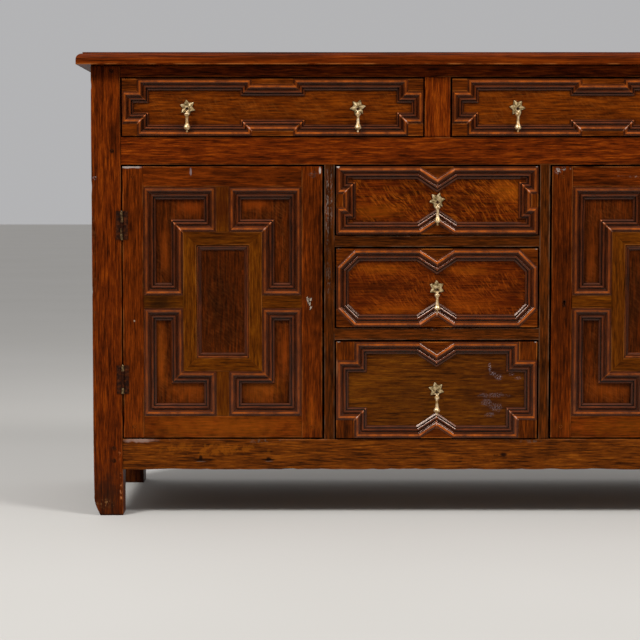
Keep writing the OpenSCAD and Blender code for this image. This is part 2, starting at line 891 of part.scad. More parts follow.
// Shelves on cleats
module shelves() {
    z = floor_z + shelf_rise;
    y0 = front_y + door_t + shelf_front_gap;
    color(inside_oak) for (side = [-1, 1]) on_side(side) {
        difference() {
            block(
                [partition_out + play, y0, z],
                [side_in - play, rear_rail_back_y - play, z + shelf_t]
            );
            block([post_in - play, front_y, 0], [half_w, post_back_y + play, total_h]);
            block([post_in - play, rear_post_y - play, 0], [half_w, back_y, total_h]);
            block([0, front_y - 1, 0], [stile_out + play, rail_back_y + play, total_h]);
        }
        block([side_in - cleat, post_back_y, z - cleat - play], [side_in, rear_post_y, z - play]);
        block(
            [partition_out, rail_back_y + play, z - cleat - play],
            [partition_out + cleat, rear_rail_y, z - play]
        );
    }
}

// Battens behind the middle rail that the doors close against
module door_stops() {
    x0 = door_cx - door_stop_l / 2;
    x1 = door_cx + door_stop_l / 2;
    low = middle_rail_z - door_stop;
    color(inside_oak) for (side = [-1, 1]) on_side(side) union() {
        block([x0, rail_back_y, low], [x1, rail_back_y + door_stop, middle_rail_z + door_stop]);
        block([x0, front_y + door_t + door_stop_gap, low], [x1, rail_back_y + 1, middle_rail_z - play]);
    }
}

// Runners: each strip lies in the groove of a drawer side
stack_drawer_half = stack_half - drawer_side_gap;
top_drawer_x0 = muntin_half + drawer_side_gap;
top_drawer_x1 = post_in - drawer_side_gap;

// Lowest face of the runner of a drawer whose opening starts at z
function runner_z(z, open_h) = z + open_h / 2 - runner_h / 2;

module bearer_tenon(grow) {
    z = top_open_z + top_open_h / 2;
    grown_block(
        [-bearer_w / 4, rail_back_y - stub_l, z - bearer_h / 4],
        [bearer_w / 4, rear_rail_y + stub_l, z + bearer_h / 4],
        grow
    );
}

module drawer_runners() {
    opens = [[opening_z, low_open_h], [mid_open_z, mid_open_h], [high_open_z, high_open_h]];
    top_z = runner_z(top_open_z, top_open_h);
    bearer_z = top_open_z + top_open_h / 2 - bearer_h / 2;
    in_groove = side_groove - runner_side_gap;
    bearer_reach = top_drawer_x0 + in_groove;
    color(inside_oak) {
        for (side = [-1, 1]) on_side(side) {
            for (open = opens) {
                z = runner_z(open[0], open[1]);
                block(
                    [stack_drawer_half - in_groove, rail_back_y, z],
                    [partition_in, rear_rail_y, z + runner_h]
                );
            }
            block(
                [top_drawer_x1 - in_groove, rail_back_y, top_z],
                [post_in, rear_rail_y, top_z + runner_h]
            );
        }
        union() {
            block(
                [-bearer_w / 2, rail_back_y, bearer_z],
                [bearer_w / 2, rear_rail_y, bearer_z + bearer_h]
            );
            bearer_tenon(0);
            block([-bearer_reach, rail_back_y, top_z], [bearer_reach, rear_rail_y, top_z + runner_h]);
        }
    }
}

module frame_pegs() {
    color(dark_oak) pegs(0);
}

// Drawers

// Dovetails of a drawer side, in the plane of the side; grow widens them for the sockets
module side_tails(x0, x1, z0, z1, grow) {
    count = max(1, floor((z1 - z0) / tail_pitch));
    pitch = (z1 - z0) / count;
    half_tip = tail_w / 2;
    half_root = half_tip - tail_spread;
    root_y = front_back_y + 2 * play;
    for (i = [0:count - 1]) {
        z = z0 + (i + 0.5) * pitch;
        along_x(x0 - grow, x1 + grow, [
            [root_y, z - half_root - grow],
            [root_y, z + half_root + grow],
            [front_back_y - tail_l - grow, z + half_tip + grow],
            [front_back_y - tail_l - grow, z - half_tip - grow]
        ]);
    }
}

// A drawer box between x0 and x1 in an opening that starts at open_z
module drawer_box(x0, x1, open_z, open_h, pull_xs) {
    z0 = open_z + drawer_low_gap;
    z1 = open_z + open_h - drawer_high_gap;
    side_z0 = z0 + bottom_t + play;
    side_z1 = z1 - side_drop;
    run_z0 = runner_z(open_z, open_h) - runner_low_gap;
    run_z1 = runner_z(open_z, open_h) + runner_h + runner_gap;
    color(oak) difference() {
        block([x0, field_y, z0], [x1, front_back_y, z1]);
        block([x0 - 1, front_back_y - groove, z0 - 1], [x1 + 1, front_back_y + 1, side_z0]);
        side_tails(x0, x0 + side_t, side_z0, side_z1, play);
        side_tails(x1 - side_t, x1, side_z0, side_z1, play);
        for (x = pull_xs)
            on_front(x, front_back_y + 1, pull_z(open_z, open_h))
                cylinder(r = wire_hole_r, h = rail_t + 2);
    }
    color(inside_oak) {
        for (side = [[x0, x0 - 1], [x1 - side_t, x1 - side_groove]])
            difference() {
                union() {
                    block(
                        [side[0], front_back_y + play, side_z0],
                        [side[0] + side_t, drawer_end_y, side_z1]
                    );
                    side_tails(side[0], side[0] + side_t, side_z0, side_z1, 0);
                }
                block(
                    [side[1], front_back_y, run_z0],
                    [side[1] + side_groove + 1, drawer_end_y + 1, run_z1]
                );
            }
        block(
            [x0 + side_t + play, drawer_end_y - drawer_back_t, side_z0],
            [x1 - side_t - play, drawer_end_y, side_z1]
        );
        block([x0, front_back_y - groove + play, z0], [x1, drawer_end_y, z0 + bottom_t]);
    }
}

// Outlines of the moulding on the drawer fronts, from the lower left corner of the front

function upper_outline(w, h) =
    let(c = h / 2, b = side_block_h / 2, s = side_block_w, m = w / 2)
    [
        [0, 0], [m - v_half, 0], [m, v_rise], [m + v_half, 0], [w, 0],
        [w, c - b], [w - s, c - b], [w - s, c + b], [w, c + b], [w, h],
        [m + v_half, h], [m, h - v_rise], [m - v_half, h], [0, h],
        [0, c + b], [s, c + b], [s, c - b], [0, c - b]
    ];

function second_outline(w, h) =
    let(c = corner_cut, m = w / 2)
    [
        [c, 0], [m - v_half, 0], [m, v_rise], [m + v_half, 0], [w - c, 0], [w, c], [w, h - c],
        [w - c, h], [m + v_half, h], [m, h - v_rise], [m - v_half, h], [c, h], [0, h - c], [0, c]
    ];

function lowest_outline(w, h) =
    let(c = corner_square, m = w / 2)
    [
        [c, 0], [m - v_half, 0], [m, v_rise], [m + v_half, 0], [w - c, 0], [w - c, c], [w, c],
        [w, h - c], [w - c, h - c], [w - c, h], [m + v_half, h], [m, h - v_rise], [m - v_half, h],
        [c, h], [c, h - c], [0, h - c], [0, c], [c, c]
    ];

function top_outline(w, h) =
    let(a = top_corner_w, b = top_corner_h, m = w / 2, s = step_w / 2, t = step_h)
    [
        [a, 0], [m - s, 0], [m - s, t], [m + s, t], [m + s, 0], [w - a, 0], [w - a, b], [w, b],
        [w, h - b], [w - a, h - b], [w - a, h], [m + s, h], [m + s, h - t], [m - s, h - t],
        [m - s, h], [a, h], [a, h - b], [0, h - b], [0, b], [a, b]
    ];

// Blocks between the outline and the edges of the front
module v_blocks(w, h) {
    for (z = [0, h])
        linear_extrude(block_h)
        polygon([[w / 2 - v_half, z], [w / 2 + v_half, z], [w / 2, abs(z - v_rise)]]);
}

module rectangle_blocks(xs, zs, size) {
    for (x = xs, z = zs) translate([x, z, 0]) cube([size[0], size[1], block_h]);
}

// What is planted on a drawer field, from the lower left corner of its front
module front_set(x0, open_z) {
    color(oak) on_front(x0, field_y, open_z + drawer_low_gap) children();
}

function front_size(x0, x1, open_h) = [x1 - x0, open_h - drawer_low_gap - drawer_high_gap];

module stack_moulding(outline) {
    moulding_run(outline, geometric_profile(mould_w, mould_h), mould_w, mould_h);
}

module upper_mouldings() {
    size = front_size(-stack_drawer_half, stack_drawer_half, high_open_h);
    front_set(-stack_drawer_half, high_open_z) {
        stack_moulding(upper_outline(size[0], size[1]));
        v_blocks(size[0], size[1]);
        rectangle_blocks(
            [0, size[0] - side_block_w], [(size[1] - side_block_h) / 2],
            [side_block_w, side_block_h]
        );
    }
}

module second_mouldings() {
    size = front_size(-stack_drawer_half, stack_drawer_half, mid_open_h);
    front_set(-stack_drawer_half, mid_open_z) {
        stack_moulding(second_outline(size[0], size[1]));
        v_blocks(size[0], size[1]);
        for (x = [0, size[0]], z = [0, size[1]])
            linear_extrude(block_h)
            polygon([[x, z], [abs(x - corner_cut), z], [x, abs(z - corner_cut)]]);
    }
}

module lowest_mouldings() {
    size = front_size(-stack_drawer_half, stack_drawer_half, low_open_h);
    front_set(-stack_drawer_half, opening_z) {
        stack_moulding(lowest_outline(size[0], size[1]));
        v_blocks(size[0], size[1]);
        rectangle_blocks(
            [0, size[0] - corner_square], [0, size[1] - corner_square],
            [corner_square, corner_square]
        );
    }
}

module top_mouldings(side) {
    x0 = side < 0 ? -top_drawer_x1 : top_drawer_x0;
    x1 = side < 0 ? -top_drawer_x0 : top_drawer_x1;
    size = front_size(x0, x1, top_open_h);
    front_set(x0, top_open_z) {
        moulding_run(
            top_outline(size[0], size[1]), geometric_profile(top_mould_w, mould_h), top_mould_w, mould_h
        );
        rectangle_blocks(
            [(size[0] - step_w) / 2], [0, size[1] - step_h], [step_w, step_h]
        );
        rectangle_blocks(
            [0, size[0] - top_corner_w], [0, size[1] - top_corner_h],
            [top_corner_w, top_corner_h]
        );
    }
}

// Pulls, drawn with the middle of the staple's loop at the origin, y up and z out

// Height of the staple of a drawer: the star is in the middle of the front
function pull_z(open_z, open_h) =
    open_z + (open_h + drawer_low_gap - drawer_high_gap) / 2 - star_lift;

// One point of the star, out along x
module star_point() {
    root = star_root_w / 2;
    shoulder = star_shoulder_w / 2;
    polygon([
        [0, -root], [star_shoulder_r, -shoulder], [star_r, 0], [star_shoulder_r, shoulder], [0, root]
    ]);
}

// Star plate on the drawer field, turned by an angle
module star_plate(turn) {
    translate([0, 0, -pull_out]) difference() {
        translate([0, star_lift, 0]) linear_extrude(star_t) rotate(turn) union() {
            circle(r = star_core_r);
            for (i = [1:star_points]) rotate(i * 360 / star_points) star_point();
        }
        translate([0, 0, -1]) cylinder(r = wire_hole_r, h = star_t + 2);
    }
}

// Wire staple: half a loop in front, two legs through the front board, clinched behind
module staple() {
    leg = pull_out + front_back_y - field_y + wire_r;
    rotate([90, 0, 90]) rotate_extrude(angle = 180) translate([loop_r, 0]) circle(r = wire_r);
    for (s = [-1, 1]) translate([0, s * loop_r, -leg]) {
        cylinder(r = wire_r, h = leg);
        rotate([-90 * s, 0, 0]) cylinder(r = clinch_r, h = clinch_l);
    }
}

module pull_plate(x, open_z, open_h, turn) {
    color(aged_brass) on_front(x, field_y - pull_out, pull_z(open_z, open_h)) {
        star_plate(turn);
        staple();
    }
}

// Turned drop with its ring: radius and distance below the middle of the ring. The
// collar hangs from the ring, the bulb and the knob are measured up from the tip.
collar_turning = [
    [0, 2.4], [1.4, 2.4], [1.9, 4.6], [3.6, 5.6], [5, 6.6], [5, 8.4], [4.3, 10], [2.9, 11.8],
    [2.3, 12.6], [2.5, 20]
];
bulb_turning = [
    [3.3, 16], [bulb_r * 0.82, 12.4], [bulb_r, 10], [bulb_r * 0.93, 8], [bulb_r * 0.56, 6],
    [1.6, 4.6], [1.4, 3.2], [1.9, 1.8], [1.2, 0.3], [0, 0]
];
drop_outline = concat(
    [for (p = collar_turning) [p[0], -p[1]]],
    [for (p = bulb_turning) [p[0], p[1] - drop_len]]
);

module drop(x, open_z, open_h) {
    color(aged_brass) on_front(x, field_y - pull_out, pull_z(open_z, open_h)) union() {
        translate([-ring_bar_l / 2, 0, 0]) rotate([0, 90, 0])
            cylinder(r = ring_wire_r, h = ring_bar_l);
        translate([0, -ring_mid_r, 0]) {
            rotate_extrude() translate([ring_mid_r, 0]) circle(r = ring_wire_r);
            rotate([-90, 0, 0]) rotate_extrude() polygon(drop_outline);
        }
    }
}

outer_pull_x = top_drawer_x1 - pull_inset;
inner_pull_x = top_drawer_x0 + pull_inset;

// Doors, drawn for the right-hand side

// Keyhole: a round hole over a slot, cut forwards from depth y over a length
module keyhole(y, length) {
    on_front(door_x0 + key_inset, y, keyhole_z) {
        cylinder(r = keyhole_r, h = length);
        translate([-key_slot_w / 2, -key_slot_h, 0]) cube([key_slot_w, key_slot_h, length]);
    }
}

module lock_space(grow) {
    grown_block(
        [door_x0 - 1, lock_y, key_z - lock_h / 2],
        [door_x0 + lock_w, front_y + door_t + 1, key_z + lock_h / 2],
        grow
    );
}

module door_panel_board(grow) {
    grown_block(
        [light_x0 - groove, panel_y, light_z0 - groove],
        [light_x1 + groove, panel_y + door_panel_t, light_z1 + groove],
        grow
    );
}

// Tenons of the door rails, and pegs through them
module door_rail_tenon(z, h, grow) {
    grown_block(
        [light_x0 - door_tenon_l, front_y + (door_t - tenon_t) / 2, z + shoulder],
        [light_x1 + door_tenon_l, front_y + (door_t + tenon_t) / 2, z + h - shoulder],
        grow
    );
}

module door_pegs(grow) {
    for (x = [door_x0 + door_stile_w / 2, door_x1 - door_stile_w / 2])
        for (z = [door_z0 + door_bottom_rail_h / 2, door_z1 - door_top_rail_h / 2])
            translate([x, front_y - door_peg_proud - grow, z])
                rotate([-90, 0, 0]) cylinder(r = door_peg_dia / 2 + grow, h = door_t + 2 * grow);
}

module door_frame(side) {
    color(oak) on_side(side) {
        difference() {
            union() {
                block([door_x0, front_y, door_z0], [light_x0 - play, front_y + door_t, door_z1]);
                block([light_x1 + play, front_y, door_z0], [door_x1, front_y + door_t, door_z1]);
            }
            door_rail_tenon(door_z0, door_bottom_rail_h, play);
            door_rail_tenon(light_z1, door_top_rail_h, play);
            door_panel_board(play);
            lock_space(play);
            keyhole(front_y + door_t + 1, door_t + 2);
            door_pegs(play / 2);
        }
        for (rail = [[door_z0, door_bottom_rail_h], [light_z1, door_top_rail_h]])
            difference() {
                union() {
                    block([light_x0, front_y, rail[0]], [light_x1, front_y + door_t, rail[0] + rail[1]]);
                    door_rail_tenon(rail[0], rail[1], 0);
                }
                door_panel_board(play);
                door_pegs(play / 2);
            }
        door_pegs(0);
    }
}

module door_panel(side) {
    color(dark_oak) on_side(side) door_panel_board(0);
}

// Copies of a corner piece in the four corners of the panelled area
module four_corners() {
    for (mx = [0, 1], mz = [0, 1])
        translate([door_cx, 0, light_cz])
            mirror([mx, 0, 0]) mirror([0, 0, mz])
            translate([-door_cx, 0, -light_cz]) children();
}

function rectangle_path(x0, z0, x1, z1) = [[x0, z0], [x1, z0], [x1, z1], [x0, z1]];

// The mitred frame in the middle with the short muntins and rails that meet it
module door_inner_frame(side) {
    half = short_w / 2;
    strip = [[0, 0], [0, door_recess], [strip_w, door_recess], [strip_w, 0]];
    color(oak) on_side(side) {
        on_front(0, panel_y, 0)
            moulding_run(
                rectangle_path(inner_x0, inner_z0, inner_x1, inner_z1), strip, strip_w, door_recess
            );
        for (z = [[light_z0, inner_z0 - play], [inner_z1 + play, light_z1]])
            block([door_cx - half, front_y, z[0]], [door_cx + half, panel_y, z[1]]);
        for (x = [[light_x0, inner_x0 - play], [inner_x1 + play, light_x1]])
            block([x[0], front_y, light_cz - half], [x[1], panel_y, light_cz + half]);
    }
}

module door_mouldings(side) {
    half = short_w / 2;
    h = mould_h + door_mould_lift;
    l_path = [
        [light_x0, light_z0], [door_cx - half, light_z0], [door_cx - half, inner_z0],
        [inner_x0, inner_z0], [inner_x0, light_cz - half], [light_x0, light_cz - half]
    ];
    centre_path = rectangle_path(
        inner_x0 + strip_w, inner_z0 + strip_w, inner_x1 - strip_w, inner_z1 - strip_w
    );
    color(oak) on_side(side) {
        four_corners() on_front(0, panel_y, 0)
            moulding_run(l_path, geometric_profile(mould_w, h), mould_w, h);
        on_front(0, panel_y, 0)
            moulding_run(
                centre_path, small_profile(small_mould_w, small_mould_h), small_mould_w, small_mould_h
            );
    }
}

// Hinges: five knuckles on one pin, two of them on the door
hinge_zs = [door_z0 + hinge_inset, door_z1 - hinge_inset];
knuckle_h = leaf_h / 5;

// Knuckle number i of a hinge, its tab reaching the leaf at x
module knuckle(z, i, tab_x) {
    low = z - leaf_h / 2 + i * knuckle_h + knuckle_end_gap / 2;
    high = low + knuckle_h - knuckle_end_gap;
    translate([hinge_x, hinge_y, low]) cylinder(r = knuckle_r, h = high - low);
    block(
        [min(hinge_x, tab_x), front_y - leaf_t, low],
        [max(hinge_x, tab_x), front_y, high]
    );
}

module fixed_hinge_leaves() {
    edge = hinge_x + knuckle_r + leaf_edge_gap;
    color(iron) for (side = [-1, 1], z = hinge_zs) on_side(side) union() {
        block([edge, front_y - leaf_t, z - leaf_h / 2], [edge + leaf_w, front_y, z + leaf_h / 2]);
        for (i = [0, 2, 4]) knuckle(z, i, edge + 1);
        translate([hinge_x, hinge_y, z - leaf_h / 2 - pin_over])
            cylinder(r = pin_r, h = leaf_h + 2 * pin_over);
    }
}

module door_hinge_leaves(side) {
    edge = hinge_x - knuckle_r - leaf_edge_gap;
    color(iron) for (z = hinge_zs) on_side(side) difference() {
        union() {
            block([edge - leaf_w, front_y - leaf_t, z - leaf_h / 2], [edge, front_y, z + leaf_h / 2]);
            for (i = [1, 3]) knuckle(z, i, edge - 1);
        }
        translate([hinge_x, hinge_y, z - leaf_h])
            cylinder(r = pin_r + pin_gap, h = 2 * leaf_h);
    }
}

// Lock: a case let into the back of the free stile, with a bolt between two guides
bolt_len = lock_w - 2 * lock_wall - bolt_travel - 1;

module bolt_space() {
    grown_block(
        [door_x0 - 1, bolt_y, bolt_z],
        [door_x0 + lock_w - lock_wall - bolt_gap, bolt_y + bolt_t, bolt_z + bolt_h],
        bolt_gap
    );
}

module door_lock(side) {
    z0 = key_z - lock_h / 2;
    z1 = key_z + lock_h / 2;
    y1 = front_y + door_t;
    color(iron) on_side(side) difference() {
        block([door_x0, lock_y, z0], [door_x0 + lock_w, y1, z1]);
        block(
            [door_x0 + lock_wall, lock_y + lock_wall, z0 + lock_wall],
            [door_x0 + lock_w - lock_wall, y1 - lock_wall, bolt_z - bolt_guide_t]
        );
        block(
            [door_x0 + lock_wall, lock_y + lock_wall, bolt_z + bolt_h + bolt_guide_t],
            [door_x0 + lock_w - lock_wall, y1 - lock_wall, z1 - lock_wall]
        );
        bolt_space();
        keyhole(lock_y + lock_wall + 1, lock_wall + 2);
    }
}

module lock_bolt(side) {
    color(aged_brass) on_side(side)
        block(
            [door_x0 + bolt_tip_gap, bolt_y, bolt_z],
            [door_x0 + bolt_tip_gap + bolt_len, bolt_y + bolt_t, bolt_z + bolt_h]
        );
}

// Mortise in the narrow stile that the bolt shoots into
module bolt_mortise() {
    grown_block(
        [door_x0 + bolt_tip_gap - bolt_travel, bolt_y, bolt_z],
        [stile_out + 1, bolt_y + bolt_t, bolt_z + bolt_h],
        mortise_gap
    );
}

// Each piece by its name. Every star plate is turned by an angle of its own.
top_board();
front_post(-1, left_foot_wear);  // front_left_post
front_post(1, right_foot_wear);  // front_right_post
rear_post(-1);  // rear_left_post
rear_post(1);  // rear_right_post
front_top_rail();
front_middle_rail();
front_bottom_rail();
drawer_muntin();
inner_stiles();
drawer_blades();
side_frame(-1);  // left_side_rails
side_frame(1);  // right_side_rails
side_panels(-1);  // left_side_panels
side_panels(1);  // right_side_panels
rear_rails();
back_boards();
floor_boards();
partitions();
shelves();
door_stops();
drawer_runners();
frame_pegs();
fixed_hinge_leaves();
door_frame(-1);  // left_door_frame
door_panel(-1);  // left_door_panel
door_inner_frame(-1);  // left_door_inner_frame
door_mouldings(-1);  // left_door_mouldings
door_hinge_leaves(-1);  // left_door_hinge_leaves
door_lock(-1);  // left_door_lock
lock_bolt(-1);  // left_lock_bolt
door_frame(1);  // right_door_frame
door_panel(1);  // right_door_panel
door_inner_frame(1);  // right_door_inner_frame
door_mouldings(1);  // right_door_mouldings
door_hinge_leaves(1);  // right_door_hinge_leaves
door_lock(1);  // right_door_lock
lock_bolt(1);  // right_lock_bolt
drawer_box(-top_drawer_x1, -top_drawer_x0, top_open_z, top_open_h, [-outer_pull_x, -inner_pull_x]);  // left_top_drawer
top_mouldings(-1);  // left_top_mouldings
union() {  // left_top_pull_plates
    pull_plate(-outer_pull_x, top_open_z, top_open_h, 10);
    pull_plate(-inner_pull_x, top_open_z, top_open_h, 40);
}
drawer_box(top_drawer_x0, top_drawer_x1, top_open_z, top_open_h, [inner_pull_x, outer_pull_x]);  // right_top_drawer
top_mouldings(1);  // right_top_mouldings
union() {  // right_top_pull_plates
    pull_plate(inner_pull_x, top_open_z, top_open_h, 25);
    pull_plate(outer_pull_x, top_open_z, top_open_h, 0);
}
drawer_box(-stack_drawer_half, stack_drawer_half, high_open_z, high_open_h, [0]);  // upper_drawer
upper_mouldings();
pull_plate(0, high_open_z, high_open_h, 13);  // upper_pull_plate
drawer_box(-stack_drawer_half, stack_drawer_half, mid_open_z, mid_open_h, [0]);  // second_drawer
second_mouldings();
pull_plate(0, mid_open_z, mid_open_h, 28);  // second_pull_plate
drawer_box(-stack_drawer_half, stack_drawer_half, opening_z, low_open_h, [0]);  // lowest_drawer
lowest_mouldings();
pull_plate(0, opening_z, low_open_h, 50);  // lowest_pull_plate
drop(-outer_pull_x, top_open_z, top_open_h);  // left_outer_drop
drop(-inner_pull_x, top_open_z, top_open_h);  // left_inner_drop
drop(inner_pull_x, top_open_z, top_open_h);  // right_inner_drop
drop(outer_pull_x, top_open_z, top_open_h);  // right_outer_drop
drop(0, high_open_z, high_open_h);  // upper_drop
drop(0, mid_open_z, mid_open_h);  // second_drop
drop(0, opening_z, low_open_h);  // lowest_drop
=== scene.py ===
# %% [markdown]
# # An oak dresser base with a geometric moulded front
#
# The object is a joined oak cupboard from the late seventeenth century: two wide
# drawers over a stack of three drawers between two panelled doors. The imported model
# gives every board at its real size. This script dresses those boards: it rounds and
# wears their arrises, runs the mouldings with their mitres, casts the brass pulls and
# gives each surface the finish that it has on the real piece.

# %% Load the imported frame
import json
import math
import random
from collections import namedtuple

import bmesh
import bpy
from mathutils import Matrix, Vector, noise


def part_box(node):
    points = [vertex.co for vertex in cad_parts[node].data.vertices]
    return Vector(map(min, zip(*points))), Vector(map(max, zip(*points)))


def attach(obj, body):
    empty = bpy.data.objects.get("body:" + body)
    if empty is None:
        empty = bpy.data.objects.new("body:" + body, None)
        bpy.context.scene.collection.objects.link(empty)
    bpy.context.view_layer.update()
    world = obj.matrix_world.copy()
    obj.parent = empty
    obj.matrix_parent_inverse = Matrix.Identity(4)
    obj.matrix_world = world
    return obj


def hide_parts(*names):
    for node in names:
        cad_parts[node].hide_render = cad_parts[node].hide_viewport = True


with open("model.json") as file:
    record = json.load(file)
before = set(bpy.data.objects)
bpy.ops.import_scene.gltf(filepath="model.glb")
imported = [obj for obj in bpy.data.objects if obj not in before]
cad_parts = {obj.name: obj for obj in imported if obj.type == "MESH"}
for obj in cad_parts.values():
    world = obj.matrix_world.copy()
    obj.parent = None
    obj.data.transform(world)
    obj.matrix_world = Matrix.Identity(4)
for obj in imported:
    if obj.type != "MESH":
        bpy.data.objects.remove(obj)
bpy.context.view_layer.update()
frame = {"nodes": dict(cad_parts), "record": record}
nodes = frame["nodes"]
bodies = frame["record"]["behaviour"]["bodies"]
node_body = {name: body for body, names in bodies.items() for name in names}
MM = 0.001

# %% [markdown]
# ## The camera
#
# The photograph was taken from about 3.6 m with a long lens, square to the front and a
# little left of the middle, with the camera tipped down by a few degrees. The lens is
# worked out from the angle that the picture covers.

# %% Place the camera
FRONT_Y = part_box("front_left_post")[0].y
CAMERA_DISTANCE = 3.623
CAMERA_X = -0.227
CAMERA_Z = 0.6205
CAMERA_PITCH = 3.74
CAMERA_LENS = 105.02

camera_data = bpy.data.cameras.new("camera")
camera_data.lens = CAMERA_LENS
camera_data.sensor_width = 36.0
camera_data.clip_end = 60.0
camera = bpy.data.objects.new("camera", camera_data)
camera.location = (CAMERA_X, FRONT_Y - CAMERA_DISTANCE, CAMERA_Z)
camera.rotation_euler = (math.radians(90 - CAMERA_PITCH), 0, 0)
bpy.context.scene.collection.objects.link(camera)
bpy.context.scene.camera = camera
print("camera at", tuple(round(v, 3) for v in camera.location))

# %% [markdown]
# ## Colours and nodes
#
# Colours are written as the hex values that a picture editor shows, and one function
# turns them to the linear numbers that the renderer works with. One small function adds
# a shader node, sets its values and joins its inputs. The others say what a finish is
# made of: soft steps, grain of a size in millimetres, sums of patterns, and stains that
# are laid over what is there, as a polisher lays them.


# %% Colour and node helpers
def linear(hex_colour):
    """An sRGB hex colour as linear red, green, blue and alpha."""
    parts = [int(hex_colour[i:i + 2], 16) / 255 for i in (1, 3, 5)]
    return [p / 12.92 if p <= 0.04045 else ((p + 0.055) / 1.055) ** 2.4 for p in parts] + [1.0]


def add(tree, kind, inputs=None, out=0, **settings):
    """Adds a node and gives back one of its outputs. inputs maps a socket's name or number to
    a value or to an output of another node."""
    made = tree.nodes.new("ShaderNode" + kind)
    for key, value in settings.items():
        setattr(made, key, value)
    for key, value in (inputs or {}).items():
        if isinstance(value, bpy.types.NodeSocket):
            tree.links.new(value, made.inputs[key])
        else:
            made.inputs[key].default_value = value
    return made.outputs[out] if made.outputs else None


def new_material(name):
    """An empty material and its node tree."""
    material = bpy.data.materials.new(name)
    material.use_nodes = True
    material.node_tree.nodes.clear()
    return material, material.node_tree


def surface(tree, inputs):
    """Ends a material: the shader with its inputs, joined to the output."""
    add(tree, "OutputMaterial", {"Surface": add(tree, "BsdfPrincipled", inputs)})


# %% What a finish is made of
def fade(tree, value, low, high, start=0.0, end=1.0):
    """A soft step: start where the value is low, end where it is high."""
    levels = {0: value, 1: low, 2: high, 3: start, 4: end}
    return add(tree, "MapRange", levels, interpolation_type="SMOOTHSTEP")


def pattern(tree, place, along, across, through, detail=2.0, rough=0.5, twist=0.0):
    """Noise whose grains measure along x across x through millimetres."""
    size = (1000 / along, 1000 / across, 1000 / through)
    stretched = add(tree, "VectorMath", {0: place, 1: size}, operation="MULTIPLY")
    look = {"Scale": 1.0, "Detail": detail, "Roughness": rough, "Distortion": twist}
    return add(tree, "TexNoise", {"Vector": stretched, **look})


def weighted(tree, *patterns, start=0.0):
    """The sum of some patterns, each given with its weight."""
    total = start
    for value, weight in patterns:
        total = add(tree, "Math", {0: value, 1: weight, 2: total}, operation="MULTIPLY_ADD")
    return total


def product(tree, *shares):
    """All the shares multiplied together."""
    total = shares[0]
    for share in shares[1:]:
        total = add(tree, "Math", {0: total, 1: share}, operation="MULTIPLY")
    return total


def stain(tree, ground, colour, *shares):
    """Lays a colour over the ground, by the product of some shares."""
    layer = {0: product(tree, *shares), 6: ground, 7: linear(colour)}
    return add(tree, "Mix", layer, out=2, data_type="RGBA")


# %% [markdown]
# ## Oak
#
# Every board here is riven or sawn oak. What the eye reads as oak is its direction: long
# fibres and pores run with the board, and where the board was cut on the quarter, pale
# ray flecks cross them. So each board carries its own coordinates, `grain`, with x along
# the fibres, and its half size, `half`. From these two the finish also knows how far a
# point is from the nearest arris, where hands and cloths rub the dark wax back to warm,
# bright wood. `tone` is a number of the board's own, so that no two boards match.


# %% The coordinates of a board, and the flecks across it
def board_place(tree):
    """The board coordinates, the board's tone, and the coordinates moved by that tone."""
    local = add(tree, "Attribute", out="Vector", attribute_name="grain")
    tone = add(tree, "Attribute", out="Fac", attribute_name="tone")
    moves = {axis: product(tree, tone, step) for axis, step in enumerate((9.1, 5.3, 7.7))}
    moved = add(tree, "VectorMath", {0: local, 1: add(tree, "CombineXYZ", moves)}, operation="ADD")
    return local, tone, moved


def ray_flecks(tree, place):
    """Silvery slivers that cross the grain in curls, where a board was cut on the quarter."""
    look = {"Scale": 14.0, "Detail": 1.0, "Roughness": 0.4}
    drift = add(tree, "TexNoise", {"Vector": place, **look}, out="Color")
    bent = add(tree, "VectorMath", {0: drift, 1: (0.03, 0.03, 0.0), 2: place}, operation="MULTIPLY_ADD")
    turned = add(tree, "Mapping", {"Vector": bent, "Rotation": (0, 0, math.radians(52))})
    slivers = pattern(tree, turned, 17, 3.2, 30, detail=4.0, rough=0.72, twist=0.3)
    patches = pattern(tree, place, 70, 36, 36, detail=3.0, rough=0.6)
    return product(tree, fade(tree, slivers, 0.44, 0.66), fade(tree, patches, 0.30, 0.60))


# %% Worn wood, with painted highlights and shade on the mouldings
def worn_arrises(tree, ground, local, place, rubbed, rub):
    """Rubs the arrises of a board back to bright wood, in patches."""
    half = add(tree, "Attribute", out="Vector", attribute_name="half")
    inside = add(tree, "VectorMath", {0: local}, operation="ABSOLUTE")
    margin = add(tree, "VectorMath", {0: half, 1: inside}, operation="SUBTRACT")
    sides = add(tree, "SeparateXYZ", {0: margin}).node.outputs
    across = add(tree, "Math", {0: sides[1], 1: sides[2]}, operation="MAXIMUM")
    patchy = fade(tree, pattern(tree, place, 50, 90, 90, detail=3.0), 0.38, 0.62)
    return stain(tree, ground, rubbed, fade(tree, across, 0.0030, 0.0006), patchy, rub)


def moulding_wear_dirt_and_light(tree, ground, place, rubbed, rub):
    """Grooves darkened with dust and old wax and with painted shade, crests brightened by wear and painted
    highlight, and salient corners painted pale: bare wood with painted glints.
    """
    wear_and_glint = add(tree, "Attribute", out="Fac", attribute_name="rub")
    dirt_and_shade = add(tree, "Attribute", out="Fac", attribute_name="dirt_and_shade")
    # Grooves and the sides of the gap darkened: dirt, with painted shade
    ground = stain(tree, ground, "#120602", dirt_and_shade, 0.8)
    patchy = fade(tree, pattern(tree, place, 22, 40, 40, detail=4.0, rough=0.65), 0.30, 0.66)
    # Crests take the rubbed colour: wear, with painted highlight on the lengths that face the lights
    ground = stain(tree, ground, rubbed, wear_and_glint, weighted(tree, (patchy, 0.75), start=0.25), rub)
    # Pale where the share runs past 1, at salient mitre corners and the ends of the brightest crests: bare
    # wood with painted glints
    return stain(tree, ground, "#c0a494", fade(tree, wear_and_glint, 1.1, 1.9))


# %% Marks at their places
SOFT_MARK = (9, 7)


